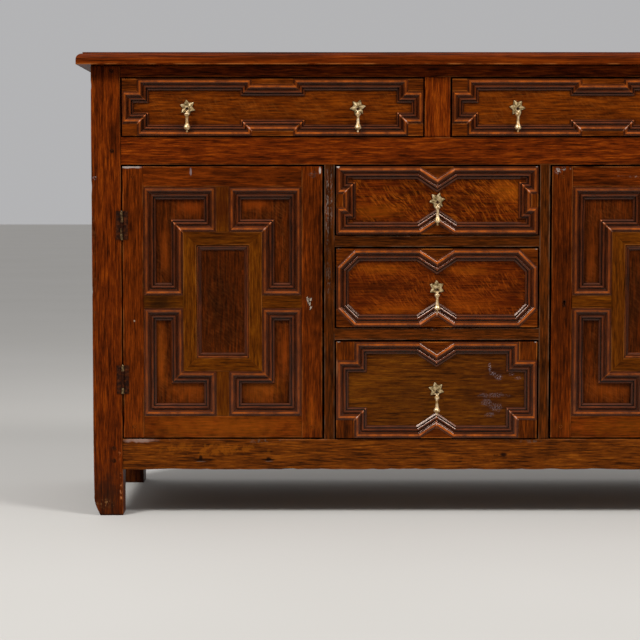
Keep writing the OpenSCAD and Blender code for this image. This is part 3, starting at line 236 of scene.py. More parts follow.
def spots(tree, ground, marks, streak):
    """Stains, knots, scuffs and painted highlights at their own places on the front. streak is how many
    times longer than wide their specks are."""
    place = add(tree, "TexCoord", out="Object")
    wander = weighted(tree, (pattern(tree, place, 16, 16, 16, detail=3.0), 1.3), start=-0.65)
    facing = add(tree, "SeparateXYZ", {0: add(tree, "TexCoord", out="Normal")}, out=1)
    front = fade(tree, facing, 0.3, -0.3)
    for x, z, half_w, half_h, colour, strength, speck in marks:
        moved = add(tree, "VectorMath", {0: place, 1: (x * MM, 0, z * MM)}, operation="SUBTRACT")
        size = (1 / (half_w * MM), 0, 1 / (half_h * MM))
        sized = add(tree, "VectorMath", {0: moved, 1: size}, operation="MULTIPLY")
        away = add(tree, "VectorMath", {0: sized}, out="Value", operation="LENGTH")
        ragged = weighted(tree, (away, 1.0), start=wander)
        # A large plain mark fades out slowly, a small or speckled one keeps its edge
        soft = speck == 0 and half_w > SOFT_MARK[0] and half_h > SOFT_MARK[1]
        edge = fade(tree, ragged, 1.25, 0.0) if soft else fade(tree, ragged, 1.0, 0.35)
        shares = [edge, strength, front]
        if speck:
            grit = pattern(tree, place, speck, speck, speck * streak, detail=3.0, rough=0.65)
            shares.append(fade(tree, grit, 0.50, 0.63))
        ground = stain(tree, ground, colour, *shares)
    return ground


# %% Oak finish
def oak(name, dark, middle, light, rubbed, flecks=0.0, fleck_colour=None, rub=0.35, gloss=0.36, shine=0.06,
        corner_shade_and_grime=0.8, reach=12, extra_corner_darkening=0.0, long=1, tones=0.05, profile=False, marks=(), streak=1):
    """Waxed oak. flecks is how strongly the ray flecks show, the rubbing setting how far the arrises wear,
    and on a moulding how strongly its crests take the rubbed colour of wear and painted highlight;
    long how far the grain is drawn out, tones how much one board differs from the next. Corners
    narrower than reach millimetres are darkened, painted shade with old dust and wax, and the extra
    corner setting darkens them more. A profile is a moulding, whose lengths carry their own rubbed
    colour and their own darkening."""
    material, tree = new_material(name)
    local, tone, place = board_place(tree)

    # Growth bands are about 10 mm wide and wander; the fibres are drawn 3 mm wide, about
    # three times too coarse, because finer ones would not show from where one stands
    bands = pattern(tree, place, 260 * long, 10, 10, detail=3.0, rough=0.55, twist=0.6)
    fibres = pattern(tree, place, 42 * long, 3.2, 3.2, detail=4.0, rough=0.7, twist=0.25)
    pores = pattern(tree, place, 20, 1.4, 1.4)
    clouds = pattern(tree, place, 90, 34, 34, detail=3.0, rough=0.6)
    figure = weighted(tree, (bands, 0.18), (fibres, 0.82))
    body = weighted(tree, (figure, 0.82), (clouds, 0.18), (tone, tones), start=-0.5 * tones)
    ground = stain(tree, linear(dark), middle, fade(tree, body, 0.35, 0.52))
    ground = stain(tree, ground, light, fade(tree, body, 0.48, 0.66))
    ground = stain(tree, ground, dark, fade(tree, pores, 0.44, 0.34), 0.5)
    if flecks > 0:
        ground = stain(tree, ground, fleck_colour or rubbed, ray_flecks(tree, place), flecks)

    # Wear on the arrises or the crests, the marks, and painted shade with old wax and dirt in the corners
    if profile:
        ground = moulding_wear_dirt_and_light(tree, ground, place, rubbed, rub)
    else:
        ground = worn_arrises(tree, ground, local, place, rubbed, rub)
    if marks:
        ground = spots(tree, ground, marks, streak)
    # Darker where nearby surfaces hem the point in: painted shade, with old wax and dirt
    corner = add(tree, "AmbientOcclusion", {"Distance": reach * MM}, out="AO", samples=6)
    ground = stain(tree, ground, "#060201", fade(tree, corner, 0.80 + extra_corner_darkening, 0.25 + 1.6 * extra_corner_darkening), corner_shade_and_grime)

    # Wax: smooth on the high places, duller where it lies thick
    height = weighted(tree, (fibres, 0.6), (pores, 0.5))
    surface(tree, {
        "Base Color": ground,
        "Roughness": weighted(tree, (fibres, 0.22), start=gloss - 0.11),
        "IOR": 1.48,
        "Specular IOR Level": shine,
        "Specular Tint": linear("#f4dccb"),
        "Normal": add(tree, "Bump", {"Height": height, "Strength": 0.25, "Distance": 0.0006})
    })
    return material


# %% [markdown]
# ## Marks of use, and painted highlights
#
# Three centuries leave their signs in one place and not in another: knots in the bottom
# rail with their drying cracks, wax rubbed grey at the corners of the doors, orange
# patches where the panels are wiped, and a lowest drawer whose finish has flaked. Some
# pale marks are painted highlights instead: lines along the top arrises of the bottom rail
# and of the drawer blades, lines just under two knots, and glints on the chipped corners of
# the drawers. They are written as places on the front, so that each lies where it was seen.

# %% Where the marks are
# Each mark is x, z, half width, half height in millimetres, colour, strength, and the
# size of the specks that break it up, or 0
POST_MARKS = (
    (-663, 659, 5, 5, "#9a9088", 0.7, 3), (-640, 34, 36, 80, "#1a120c", 0.72, 0),
    (-616, 46, 3.5, 44, "#b06c40", 0.85, 7), (640, 34, 36, 80, "#1a120c", 0.72, 0),
    (616, 46, 3.5, 44, "#b06c40", 0.85, 7), (-648, 24, 20, 12, "#8a6038", 0.6, 6),
    (648, 24, 20, 12, "#8a6038", 0.5, 6), (-665, 400, 5, 330, "#5a3014", 0.5, 12),
    (-628, 738, 12, 34, "#180601", 0.6, 0), (-618, 120, 4, 20, "#9a5a30", 0.5, 6),
)
BOTTOM_MARKS = (
    (-460, 110, 36, 2.4, "#0c0402", 0.95, 0), (-460, 113, 5, 9, "#120602", 0.9, 0),
    # Pale lines just under the two knots: painted highlights
    (-461, 106.5, 12, 1.2, "#74584a", 0.6, 0), (-326, 107, 9, 1.2, "#74584a", 0.5, 0),
    (-328, 110, 22, 2.2, "#0c0402", 0.9, 0), (-327, 111, 6, 4, "#100502", 0.9, 0),
    (128, 119, 28, 3.5, "#140a06", 0.85, 4), (132, 120, 9, 5, "#100604", 0.9, 0),
    # In the next four lines, the marks at z 146 to 150 lie along the top arris of the bottom rail: worn
    # wax, with painted highlight where the rounded arris faces the lights; the broad orange ones are wood
    (-574, 148, 38, 6, "#8c7064", 0.9, 0), (-500, 149.5, 60, 2.5, "#8c5c44", 0.7, 9),
    (-343, 147, 30, 5, "#5c4c42", 0.9, 5), (-290, 149, 30, 3, "#6a5244", 0.6, 5),
    (180, 146, 44, 4, "#5a4a40", 0.6, 7), (-450, 130, 130, 18, "#96500c", 0.4, 14),
    (60, 108, 120, 14, "#7a3c0a", 0.35, 14), (0, 149.5, 560, 1.6, "#7a4c34", 0.5, 14),
)
FRAME_MARKS = (
    (-429, 730, 12, 5, "#1a0601", 0.6, 0), (-246, 694, 60, 5, "#240a02", 0.55, 0),
    (0, 689, 215, 9, "#1c0701", 0.6, 0), (410, 688, 190, 6, "#240a02", 0.4, 0),
    (-420, 688, 170, 5, "#240a02", 0.35, 0), (-560, 694, 44, 10, "#2c0e02", 0.35, 0),
)
DOOR_MARKS = (
    (-592, 680, 27, 3.2, "#a89c92", 0.75, 0), (-227, 673, 2.4, 8, "#c0b4a8", 0.85, 0),
    (-477, 671, 2.6, 9, "#8a7e7e", 0.6, 0), (-588, 382, 2, 2.4, "#a08870", 0.9, 0),
    (-416, 175, 200, 32, "#b05a10", 0.30, 0), (-244, 204, 11, 38, "#a8500a", 0.2, 0),
    (233, 674, 8, 10, "#c0b6ae", 0.9, 2.5), (244, 677, 8, 6, "#8e8a84", 0.85, 2.5),
    (232, 676, 3, 5, "#a89e96", 0.6, 0), (256, 677, 5, 3, "#8a7464", 0.6, 3),
    (370, 662, 40, 3, "#8a7464", 0.4, 4),
    (-227, 540, 4, 130, "#120401", 0.7, 0), (-244, 666, 14, 7, "#5a5048", 0.6, 3),
    (-238, 470, 20, 210, "#240a01", 0.5, 0), (242, 420, 24, 300, "#240a01", 0.6, 0),
    (416, 175, 190, 28, "#a0540a", 0.25, 0), (-416, 500, 190, 330, "#1c0701", 0.12, 0),
)
INNER_MARKS = (
    (-540, 420, 64, 40, "#1c0d03", 0.8, 0), (-416, 542, 90, 16, "#240c02", 0.3, 0),
    (-416, 606, 40, 62, "#3c1403", 0.75, 0), (-416, 238, 40, 56, "#4a1e04", 0.45, 0),
)
PANEL_MARKS = (
    (-416, 419, 62, 150, "#120401", 0.5, 0), (416, 419, 62, 150, "#120401", 0.5, 0),
    (-478, 602, 30, 20, "#8c3808", 0.38, 0), (-350, 610, 34, 18, "#943e0a", 0.45, 0),
    (-486, 250, 50, 34, "#b05210", 0.24, 0), (-340, 250, 50, 34, "#b85c12", 0.26, 0),
    (-538, 318, 14, 80, "#b05410", 0.27, 0), (-297, 315, 12, 60, "#ac4c10", 0.24, 0),
    (-540, 520, 14, 110, "#1c0701", 0.3, 0), (-528, 522, 10, 50, "#8a3c0a", 0.4, 0),
    (-376, 500, 5, 60, "#9a3e0a", 0.3, 9),
    (335, 246, 46, 30, "#a84c0c", 0.24, 0), (300, 490, 12, 60, "#90400e", 0.28, 0),
)
STILE_MARKS = (
    (-213, 606, 5, 88, "#94887e", 0.6, 1.5), (-205, 620, 3, 70, "#8a7e74", 0.5, 1.5),
    (-211, 470, 6, 60, "#6a5c50", 0.4, 1.5), (-6, 364, 7, 3, "#8c8084", 0.7, 3),
    # Lines along the top arrises of the two drawer blades, at z 367 and 547: painted highlights where the
    # arrises face the lights
    (0, 547, 190, 1.6, "#7a5844", 0.7, 6), (0, 367, 190, 1.6, "#7a5844", 0.7, 6),
    (60, 524, 120, 2, "#7a4a20", 0.4, 5), (-209, 300, 9, 190, "#120602", 0.25, 0),
)
UPPER_MARKS = (
    (-40, 640, 60, 16, "#200901", 0.4, 0), (40, 612, 34, 26, "#200901", 0.45, 0),
    (-120, 596, 60, 18, "#b85a0a", 0.25, 0), (140, 636, 44, 28, "#bc600c", 0.28, 0),
)
SECOND_MARKS = (
    (-120, 446, 76, 18, "#180701", 0.55, 0), (-110, 404, 5, 2.5, "#160501", 0.9, 0),
    (10, 470, 20, 12, "#1c0801", 0.5, 0), (150, 440, 24, 12, "#240c02", 0.45, 0),
    (-110, 484, 64, 13, "#b05a0a", 0.22, 0), (60, 480, 50, 12, "#b0580a", 0.22, 0),
    (-80, 404, 74, 13, "#b4560a", 0.28, 0), (60, 410, 64, 15, "#b0520a", 0.24, 0),
)
LOWEST_MARKS = (
    (112, 252, 70, 75, "#3a1604", 0.4, 0), (115, 280, 24, 22, "#200e0a", 0.5, 0),
    (104, 290, 4, 12, "#9a8c90", 0.75, 2), (110, 279, 7, 6, "#9a8c90", 0.75, 2),
    (121, 271, 10, 7, "#9a8c90", 0.75, 2), (147, 278, 7, 5, "#93858a", 0.7, 2),
    (158, 270, 9, 4, "#93858a", 0.7, 2), (112, 236, 36, 6, "#8c7e80", 0.65, 2),
    (108, 214, 40, 32, "#200e0a", 0.45, 0), (96, 222, 14, 9, "#8c7e80", 0.6, 2),
    (118, 212, 16, 10, "#8c7e80", 0.6, 2), (104, 198, 12, 7, "#8c7e80", 0.55, 2),
    (60, 240, 20, 24, "#240e04", 0.4, 0), (-60, 240, 66, 36, "#2c1404", 0.3, 0),
)
# Pale spots at the corners of the stack drawers: chips in the wax, with painted glints where the corners
# face the lights
CHIP_AND_GLINT_MARKS = (
    (-191, 524, 4, 2.4, "#d0c4b8", 0.9, 0), (-191, 343, 4.5, 2.4, "#d0c4b8", 0.9, 0),
    (-192, 681, 3.4, 3.4, "#d0c4b8", 0.9, 0), (192, 682, 2.6, 2.6, "#b8aca0", 0.8, 0),
    (192, 523, 2.6, 2.6, "#b0a498", 0.7, 0), (192, 342, 2.6, 2.6, "#b0a498", 0.7, 0),
    (-194, 290, 2, 26, "#b07040", 0.5, 0),
)
WOOD_MARKS = (
    POST_MARKS, BOTTOM_MARKS, FRAME_MARKS, DOOR_MARKS, INNER_MARKS, PANEL_MARKS, STILE_MARKS, UPPER_MARKS,
    SECOND_MARKS, LOWEST_MARKS, CHIP_AND_GLINT_MARKS
)
print("marks of use:", sum(len(marks) for marks in WOOD_MARKS))

# %% [markdown]
# ## The finishes of the pieces
#
# All of them are the same oak under the same wax, but every board took the stain, the
# light and the hands of its owners in its own way. The narrow stiles beside the drawers
# are nearly black, the doors' inner frames are golden, the panels red. The long boards
# of the top and the back have their grain drawn out, and the marks lie on the faces
# that look to the front, so that none shows through on the back of a door.


# %% Finishes of the oak pieces
OAK = {
    "frame": oak("waxed_oak_frame", "#240a01", "#602203", "#904007", "#a8622c", marks=FRAME_MARKS),
    "post": oak("waxed_oak_post", "#260b01", "#5c2103", "#863a06", "#a8622c", marks=POST_MARKS),
    "bottom": oak("waxed_oak_bottom_rail", "#281003", "#652f07", "#8e4c0e", "#a8622c", marks=BOTTOM_MARKS),
    "stile": oak("waxed_oak_stiles", "#1a0802", "#441e04", "#6c3008", "#8a6a50", marks=STILE_MARKS,
                 streak=3),
    "door": oak("waxed_oak_door", "#200901", "#521e02", "#7c3306", "#a8622c", marks=DOOR_MARKS),
    "inner": oak("waxed_oak_inner_frame", "#261001", "#562702", "#743e05", "#9a5c28", marks=INNER_MARKS),
    "panel": oak("waxed_oak_panel", "#180601", "#3e1702", "#642704", "#8a4a20", flecks=0.2, extra_corner_darkening=-0.08,
                 marks=PANEL_MARKS),
    "curly": oak("quartersawn_oak_drawer", "#200800", "#521b02", "#783004", "#a05a20", flecks=0.6,
                 fleck_colour="#a4500e", reach=24, extra_corner_darkening=0.12, marks=UPPER_MARKS),
    "second": oak("quartersawn_oak_second_drawer", "#1e0700", "#4b1802", "#6e2b03", "#a05a20", flecks=0.5,
                  fleck_colour="#9c480c", reach=24, extra_corner_darkening=0.12, marks=SECOND_MARKS),
    "drawer": oak("waxed_oak_top_drawer", "#240b01", "#572202", "#7e3904", "#a05a20", flecks=0.15, reach=24,
                  extra_corner_darkening=0.12),
    "lowest": oak("flaked_oak_lowest_drawer", "#281103", "#562905", "#744008", "#a05a20", reach=24,
                  extra_corner_darkening=0.12, marks=LOWEST_MARKS),
    "moulding": oak("waxed_oak_moulding", "#200a02", "#481b04", "#6c2d07", "#be5c10", rub=1.0, profile=True,
                    gloss=0.21, shine=0.45, marks=CHIP_AND_GLINT_MARKS, corner_shade_and_grime=0.6),
    "block": oak("waxed_oak_block", "#200a01", "#502003", "#763405", "#a85c20", rub=0.6, marks=CHIP_AND_GLINT_MARKS),
    # Rear posts: darker than the front ones, painted shade where they stand in the dark under the dresser
    "rear": oak("painted_shade_oak_rear_posts", "#160602", "#3c1804", "#5c2a0a", "#6a4428"),
    "peg": oak("oak_peg_end_grain", "#100602", "#301205", "#4c200a", "#6a3a1a"),
    "top": oak("waxed_oak_top", "#260b01", "#5c2103", "#863a06", "#a8622c", rub=0.6, long=3.5, tones=0.09),
    "bare": oak("bare_aged_oak", "#4a3420", "#7a5a3a", "#a07c54", "#a88660", gloss=0.62, corner_shade_and_grime=0.6, long=2,
                tones=0.1),
    "back": oak("bare_dark_oak", "#33200f", "#563a22", "#785636", "#846648", gloss=0.68, corner_shade_and_grime=0.9, long=3,
                tones=0.13),
}
print("oak finishes:", len(OAK))

# %% [markdown]
# ## Boards
#
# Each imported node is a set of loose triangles. A copy of it is merged and its flat faces
# are dissolved, which gives back the boards with their tenons and grooves. The long
# arrises are bevelled, because no edge on three hundred years old oak is sharp, and
# planes cut every board into short lengths so that its faces can waver by a few tenths
# of a millimetre, as a hand plane leaves them. Knocks take small bites out of the
# arrises.


# %% Operators with the settings that this script uses
def as_mesh(bm, name):
    """Ends a bmesh as a mesh."""
    mesh = bpy.data.meshes.new(name)
    bm.to_mesh(mesh)
    bm.free()
    return mesh


def join_into(bm, other):
    """Adds one bmesh to another."""
    mesh = as_mesh(other, "join")
    bm.from_mesh(mesh)
    bpy.data.meshes.remove(mesh)


def ease(bm, geom, offset, segments=2, affect="EDGES", clamp=False):
    """Bevels edges or corners by an offset in millimetres."""
    bmesh.ops.bevel(
        bm, geom=geom, offset=offset * MM, segments=segments, profile=0.5, affect=affect, material=-1,
        clamp_overlap=clamp
    )


def cut(bm, place, normal, reach=1e-6, **cleared):
    """Cuts the whole mesh by a plane, and clears one side of it if asked."""
    bmesh.ops.bisect_plane(
        bm, geom=bm.verts[:] + bm.edges[:] + bm.faces[:], dist=reach, plane_co=place, plane_no=normal,
        **cleared
    )


def pushed_out(bm, faces, way):
    """Extrudes faces by a vector, and gives back the new vertices."""
    grown = bmesh.ops.extrude_face_region(bm, geom=faces)["geom"]
    moved = [g for g in grown if isinstance(g, bmesh.types.BMVert)]
    bmesh.ops.translate(bm, verts=moved, vec=way)
    return moved


def outwards(bm):
    """Turns all the faces of closed shapes outwards."""
    bmesh.ops.recalc_face_normals(bm, faces=bm.faces[:])


def faces_of(verts):
    return {face for vert in verts for face in vert.link_faces}


def take_second(faces):
    """Gives faces the second material of their piece."""
    for face in faces:
        face.material_index = 1


# %% The solids of a node
def islands(bm):
    """The separate solids of a mesh, as lists of vertices."""
    seen = set()
    found = []
    for start in bm.verts:
        if start in seen:
            continue
        stack = [start]
        seen.add(start)
        group = []
        while stack:
            vert = stack.pop()
            group.append(vert)
            for edge in vert.link_edges:
                other = edge.other_vert(vert)
                if other not in seen:
                    seen.add(other)
                    stack.append(other)
        found.append(group)
    return found


def box_of(verts):
    low = Vector([min(v.co[i] for v in verts) for i in range(3)])
    high = Vector([max(v.co[i] for v in verts) for i in range(3)])
    return low, high


# %% Arrises and cuts
ON_SIDE = 2e-5


def on_planes(vert, low, high):
    """The sides of the box on which a vertex lies."""
    sides = set()
    for i in range(3):
        if abs(vert.co[i] - low[i]) < ON_SIDE:
            sides.add((i, 0))
        if abs(vert.co[i] - high[i]) < ON_SIDE:
            sides.add((i, 1))
    return sides


def long_arrises(group):
    """Edges that lie on two sides of their board's box, along any of its corners."""
    low, high = box_of(group)
    inside = set(group)
    edges = {e for v in group for e in v.link_edges if e.other_vert(v) in inside}
    picked = []
    for edge in edges:
        shared = on_planes(edge.verts[0], low, high) & on_planes(edge.verts[1], low, high)
        if len(shared) >= 2:
            picked.append(edge)
    return picked


def rear_arrises(group):
    """The upright edges of a back board on its outer face."""
    rear = box_of(group)[1].y - 1e-5
    on_face = {e for v in group for e in v.link_edges if all(end.co.y > rear for end in e.verts)}
    return [e for e in on_face if abs(e.verts[0].co.z - e.verts[1].co.z) > 0.1]


def merged_copy(node):
    """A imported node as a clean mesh: doubles merged, flat faces joined."""
    bm = bmesh.new()
    bm.from_mesh(nodes[node].data)
    bmesh.ops.remove_doubles(bm, verts=bm.verts[:], dist=1e-6)
    bmesh.ops.dissolve_limit(bm, angle_limit=math.radians(0.5), verts=bm.verts[:], edges=bm.edges[:])
    return bm


def cut_up(bm, spacing):
    """Cuts the mesh by planes square to each axis, spacing millimetres apart, or 0 for none."""
    low, high = box_of(bm.verts)
    for i, step in enumerate(spacing):
        count = int((high[i] - low[i]) / (step * MM)) if step else 0
        normal = Vector([float(axis == i) for axis in range(3)])
        for k in range(1, count + 1):
            cut(bm, normal * (low[i] + (high[i] - low[i]) * k / (count + 1)), normal)


# %% What a board carries
def board_layers(bm):
    for layer in ("grain", "half"):
        bm.verts.layers.float_vector.new(layer)
    for layer in ("tone", "rub", "dirt_and_shade"):
        bm.verts.layers.float.new(layer)


def write_grain(bm, group, low, high, tone, along=None):
    """Stores the board coordinates on the vertices of one board."""
    grain = bm.verts.layers.float_vector["grain"]
    half = bm.verts.layers.float_vector["half"]
    tones = bm.verts.layers.float["tone"]
    size = high - low
    order = sorted(range(3), key=lambda i: -size[i])
    if along is not None:
        order = [along] + [i for i in order if i != along]
    centre = (low + high) / 2
    half_size = Vector([size[i] / 2 for i in order])
    for vert in group:
        offset = vert.co - centre
        vert[grain] = Vector([offset[i] for i in order])
        vert[half] = half_size
        vert[tones] = tone


# %% How a board wears
KNOCK_DEPTH = 0.9
RAGGED_H = 9
FOOT_TAPER_H = 170
FOOT_BULGE_H = 38


def long_axis(low, high):
    return max(range(3), key=lambda i: high[i] - low[i])


def waver(group, low, high, depth):
    """Pushes the surface in by a slow noise, but not along the board."""
    along = long_axis(low, high)
    for vert in group:
        slow = noise.noise(vert.co * 14 + Vector((low.x * 7, low.z * 5, 3)))
        push = vert.normal * (depth * MM * (0.5 + 0.5 * slow))
        push[along] = 0
        vert.co -= push


def knock(group, low, high, places):
    """Bites small hollows out of the front arrises: places is how many for each metre."""
    along = long_axis(low, high)
    other = 2 if along == 0 else 0
    for _ in range(int(places * (high - low)[along])):
        spot = Vector((0, low.y, 0))
        spot[along] = random.uniform(low[along], high[along])
        spot[other] = random.choice((low[other], high[other]))
        reach = random.uniform(6, 16) * MM
        for vert in group:
            away = vert.co - spot
            if abs(away.y) < reach and away.length < reach:
                vert.co -= vert.normal * KNOCK_DEPTH * MM * (1 - (away.length / reach) ** 2)


def rag(group, low, depth):
    """Wears the lower edge of a rail ragged."""
    for vert in group:
        near = 1 - (vert.co.z - low.z) / (RAGGED_H * MM)
        if near > 0:
            slow = 0.5 + 0.5 * noise.noise(Vector((vert.co.x * 9, 1, 2)))
            quick = 0.5 + 0.5 * noise.noise(Vector((vert.co.x * 55, 5, vert.co.y * 20)))
            vert.co.z += depth * MM * near * (0.35 * slow ** 2 + 0.65 * quick ** 3)


def wear_foot(group, low, high):
    """Tapers a foot a little, and rounds the worn corner at the floor."""
    outer = low.x if low.x < 0 else high.x
    centre = (low + high) / 2
    for vert in group:
        near = 1 - (vert.co.z - low.z) / (FOOT_TAPER_H * MM)
        if near > 0:
            share = (vert.co.x - centre.x) / (outer - centre.x)
            bulge = math.sin(math.pi * min(1.0, (vert.co.z - low.z) / (FOOT_BULGE_H * MM)))
            inward = (1.8 * near ** 2 - 3.2 * bulge) * MM * max(0.0, share)
            vert.co.x -= inward if outer > 0 else -inward
            vert.co.y += 1.5 * MM * near ** 3 * (1 if vert.co.y < centre.y else -1)


# %% Pieces from finished meshes
random.seed(1680)


def finish_piece(name, bm, materials, body, smooth=35):
    """Turns a bmesh into a piece that rides on its body."""
    mesh = as_mesh(bm, name)
    for material in materials:
        mesh.materials.append(material)
    for face in mesh.polygons:
        face.use_smooth = True
    mesh.set_sharp_from_angle(angle=math.radians(smooth))
    piece = bpy.data.objects.new(name, mesh)
    bpy.context.scene.collection.objects.link(piece)
    piece.modifiers.new("even_shading", "WEIGHTED_NORMAL").keep_sharp = True
    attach(piece, body)
    return piece


def stand_for(node, ending, bm, materials, smooth=35):
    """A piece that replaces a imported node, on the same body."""
    piece = finish_piece(node + ending, bm, materials, node_body[node], smooth)
    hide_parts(node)
    return piece


def is_front_board(low, high):
    return high.y - low.y < 30 * MM and low.y < FRONT_Y + 10 * MM


def board_piece(node, finish, arris=1.2, depth=0.3, spacing=(40, 40, 40), along=None, front=None,
                knocks=0, ragged=0):
    """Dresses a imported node: finish is its oak, front another oak for the board that faces out."""
    bm = merged_copy(node)
    board_layers(bm)
    boards = [box_of(group) for group in islands(bm)]
    if node == "back_boards":
        ease(bm, [e for group in islands(bm) for e in rear_arrises(group)], 2.4)
    if arris > 0:
        ease(bm, [e for group in islands(bm) for e in long_arrises(group)], arris)
    cut_up(bm, spacing)
    bm.normal_update()
    for group in islands(bm):
        low, high = box_of(group)
        middle = (low + high) / 2
        low, high = min(boards, key=lambda b: ((b[0] + b[1]) / 2 - middle).length)
        write_grain(bm, group, low, high, random.random(), along)
        waver(group, low, high, depth)
        if knocks:
            knock(group, low, high, knocks)
        if ragged:
            rag(group, low, ragged)
        if finish == "post":
            wear_foot(group, low, high)
        if front and is_front_board(low, high):
            take_second(faces_of(group))
    return stand_for(node, "_dressed", bm, [OAK[kind] for kind in (finish, front) if kind])


# %% Dress the boards of the case
for node in ("front_left_post", "front_right_post"):
    board_piece(node, "post", arris=2.2, depth=0.6, spacing=(20, 30, 6), knocks=9)
for node in ("front_top_rail", "front_middle_rail"):
    board_piece(node, "frame", arris=1.2, depth=0.5, spacing=(10, 0, 18), knocks=5)
board_piece("front_bottom_rail", "bottom", arris=1.8, depth=0.5, spacing=(8, 0, 15), knocks=7, ragged=5)
board_piece("drawer_muntin", "frame", arris=0.8, spacing=(14, 0, 14), knocks=5)
for node in ("inner_stiles", "drawer_blades"):
    board_piece(node, "stile", arris=0.8, spacing=(14, 0, 14), knocks=5)
for node in ("left_side_rails", "right_side_rails"):
    board_piece(node, "frame", arris=1.0, spacing=(0, 40, 40))
for node in ("left_side_panels", "right_side_panels"):
    board_piece(node, "panel", arris=0, spacing=(0, 40, 40), along=2)
board_piece("top_board", "top", arris=0, depth=0.4, spacing=(60, 60, 0))
for node in ("rear_left_post", "rear_right_post"):
    board_piece(node, "rear", arris=0, spacing=(0, 0, 60))
for node in ("rear_rails", "back_boards"):
    board_piece(node, "back", arris=0, spacing=(0, 0, 60))
for node in ("floor_boards", "partitions", "shelves", "door_stops", "drawer_runners"):
    board_piece(node, "bare", arris=0, spacing=(0, 60, 0))
board_piece("frame_pegs", "peg", arris=0, depth=0, spacing=(0, 0, 0))
print("case boards dressed")

# %% Dress the doors and the drawers
for side in ("left", "right"):
    board_piece(side + "_door_frame", "door", arris=0.9, depth=0.4, spacing=(10, 0, 10), knocks=5)
    board_piece(side + "_door_panel", "panel", arris=0, depth=0.3, spacing=(40, 0, 40), along=2)
    board_piece(side + "_door_inner_frame", "inner", arris=0.5, depth=0.2, spacing=(25, 0, 25))
FRONT_OAKS = {"left_top": "drawer", "right_top": "drawer", "upper": "curly", "second": "second",
              "lowest": "lowest"}
for drawer, front_oak in FRONT_OAKS.items():
    board_piece(drawer + "_drawer", "bare", arris=0, spacing=(40, 0, 40), front=front_oak)
print("doors and drawers dressed")

# %% [markdown]
# ## The mitred mouldings
#
# The pattern on the fronts is made of short lengths of one moulding, planed in long
# strips and mitred at every turn. From its outer edge to the field it has a fillet, a
# bead, a step, a hollow, a ridge that leans inwards, a deep groove and a lip. The section
# starts as the few square cuts of the plane, and the bevel operator rounds its corners.
# Each length is the section extruded past both of its mitres, then cut back by the two
# mitre planes. The crests carry a rubbed colour: wear where three centuries of dusting have
# worn them bright, with painted highlight on the lengths and salient corners that face the
# lights above. The grooves carry a darkening: dirt, with painted shade.

# %% Sizes of the moulding
SECTION_W = 24.0
MOULD_H = 10.0
DOOR_MOULD_H = 12.0
TOP_DRAWER_W = 22.0
# How far a moulding is let into the field, kept off the edge and open at its mitres
SUNK = -0.4
EDGE_GAP = 0.1
MITRE_GAP = 0.12
# How far apart the cuts along a length are, and how far a pale corner reaches: bare wood with a painted
# glint
STEP_ALONG = 7.0
BARE_AND_GLINT_CORNER = 2.0
# Across, below the crest, radius of the corner and its steps, in a section 24 mm wide
PROFILE = (
    (2.5, 3.5, 0, 0), (2.5, 1.5, 0.7, 2), (4.8, 0, 1.2, 3), (6.6, 0, 1.2, 3), (9.2, 1.5, 0.6, 2),
    (9.3, 3.2, 0, 0), (10.8, 3.2, 0.6, 2), (11.5, 5.4, 1.1, 3), (14.1, 5.4, 1.2, 3),
    (14.7, 2.2, 0.9, 3), (16.4, 2, 0.7, 2), (18.7, 3.3, 0.5, 2), (18.9, 7.4, 0, 0),
    (20.6, 7.4, 0, 0), (20.8, 6.4, 0.5, 2),
)


# %% The section of the moulding
def section(corners):
    """A flat section in X and Z. A corner is across, height, radius and steps."""
    bm = bmesh.new()
    verts = [bm.verts.new((u * MM, 0, h * MM)) for u, h, _, _ in corners]
    bm.faces.new(verts)
    for vert, (_, _, radius, steps) in zip(verts, corners):
        if radius:
            ease(bm, [vert], radius, steps, affect="VERTICES")
    return as_mesh(bm, "section")


def geometric_section(w, h):
    """Fillet, bead, step, hollow, ridge, groove and lip."""
    k = w / SECTION_W
    fillet = (EDGE_GAP, h - 3.5 * k, 0.5 * k, 2)
    shaped = [(u * k, h - below * k, radius * k, steps) for u, below, radius, steps in PROFILE]
    return section([(EDGE_GAP, SUNK, 0, 0), fillet] + shaped + [(w, h - 9 * k, 0, 0), (w, SUNK, 0, 0)])


def small_section(w, h):
    """The little ogee round the centre panel of a door."""
    return section([
        (EDGE_GAP, SUNK, 0, 0), (EDGE_GAP, h, 0.8, 2), (0.3 * w, h, 1.1, 3), (0.38 * w, 0.72 * h, 0, 0),
        (0.72 * w, 0.66 * h, 1.4, 3), (w, 0.2 * h, 0, 0), (w, SUNK, 0, 0)
    ])


# %% Where a moulding wears and takes painted highlight, and where it is darkened with dirt and painted shade
def wear_of(u, below):
    """Rubbed colour (wear with painted highlight) and darkening (dust and old wax with painted shade) at a
    point of the section, from its place across and its depth under the crest.
    """
    if u < 2.6:
        return (0.16 if below < 3.9 else 0.0), (0.1 if below < 3.9 else 0.5)
    if u < 9.7 and below < 3.6:
        crest = max(0.0, 1.0 - below / 1.5) ** 2
        return crest, min(1.0, max(0.0, (below - 0.7) / 1.6)) * 0.7
    if u < 9.9:
        return 0.0, 0.8
    if u < 11.2 and below < 3.9:
        return 0.14, 0.2
    if u < 14.5 and below > 2.6:
        return 0.0, 0.35
    if u < 18.8 and below < 3.6:
        return 0.08, 0.12
    if u < 20.75 and below > 3.6:
        return 0.0, 1.0
    if u > SECTION_W - 1.2:
        return 0.06, 0.5
    return 0.1, 0.25


def small_wear_of(u, below):
    if u < 3.2 and below < 1.5:
        return 0.45, 0.0
    if u > 9:
        return 0.15, 0.1
    return 0.05, 0.45


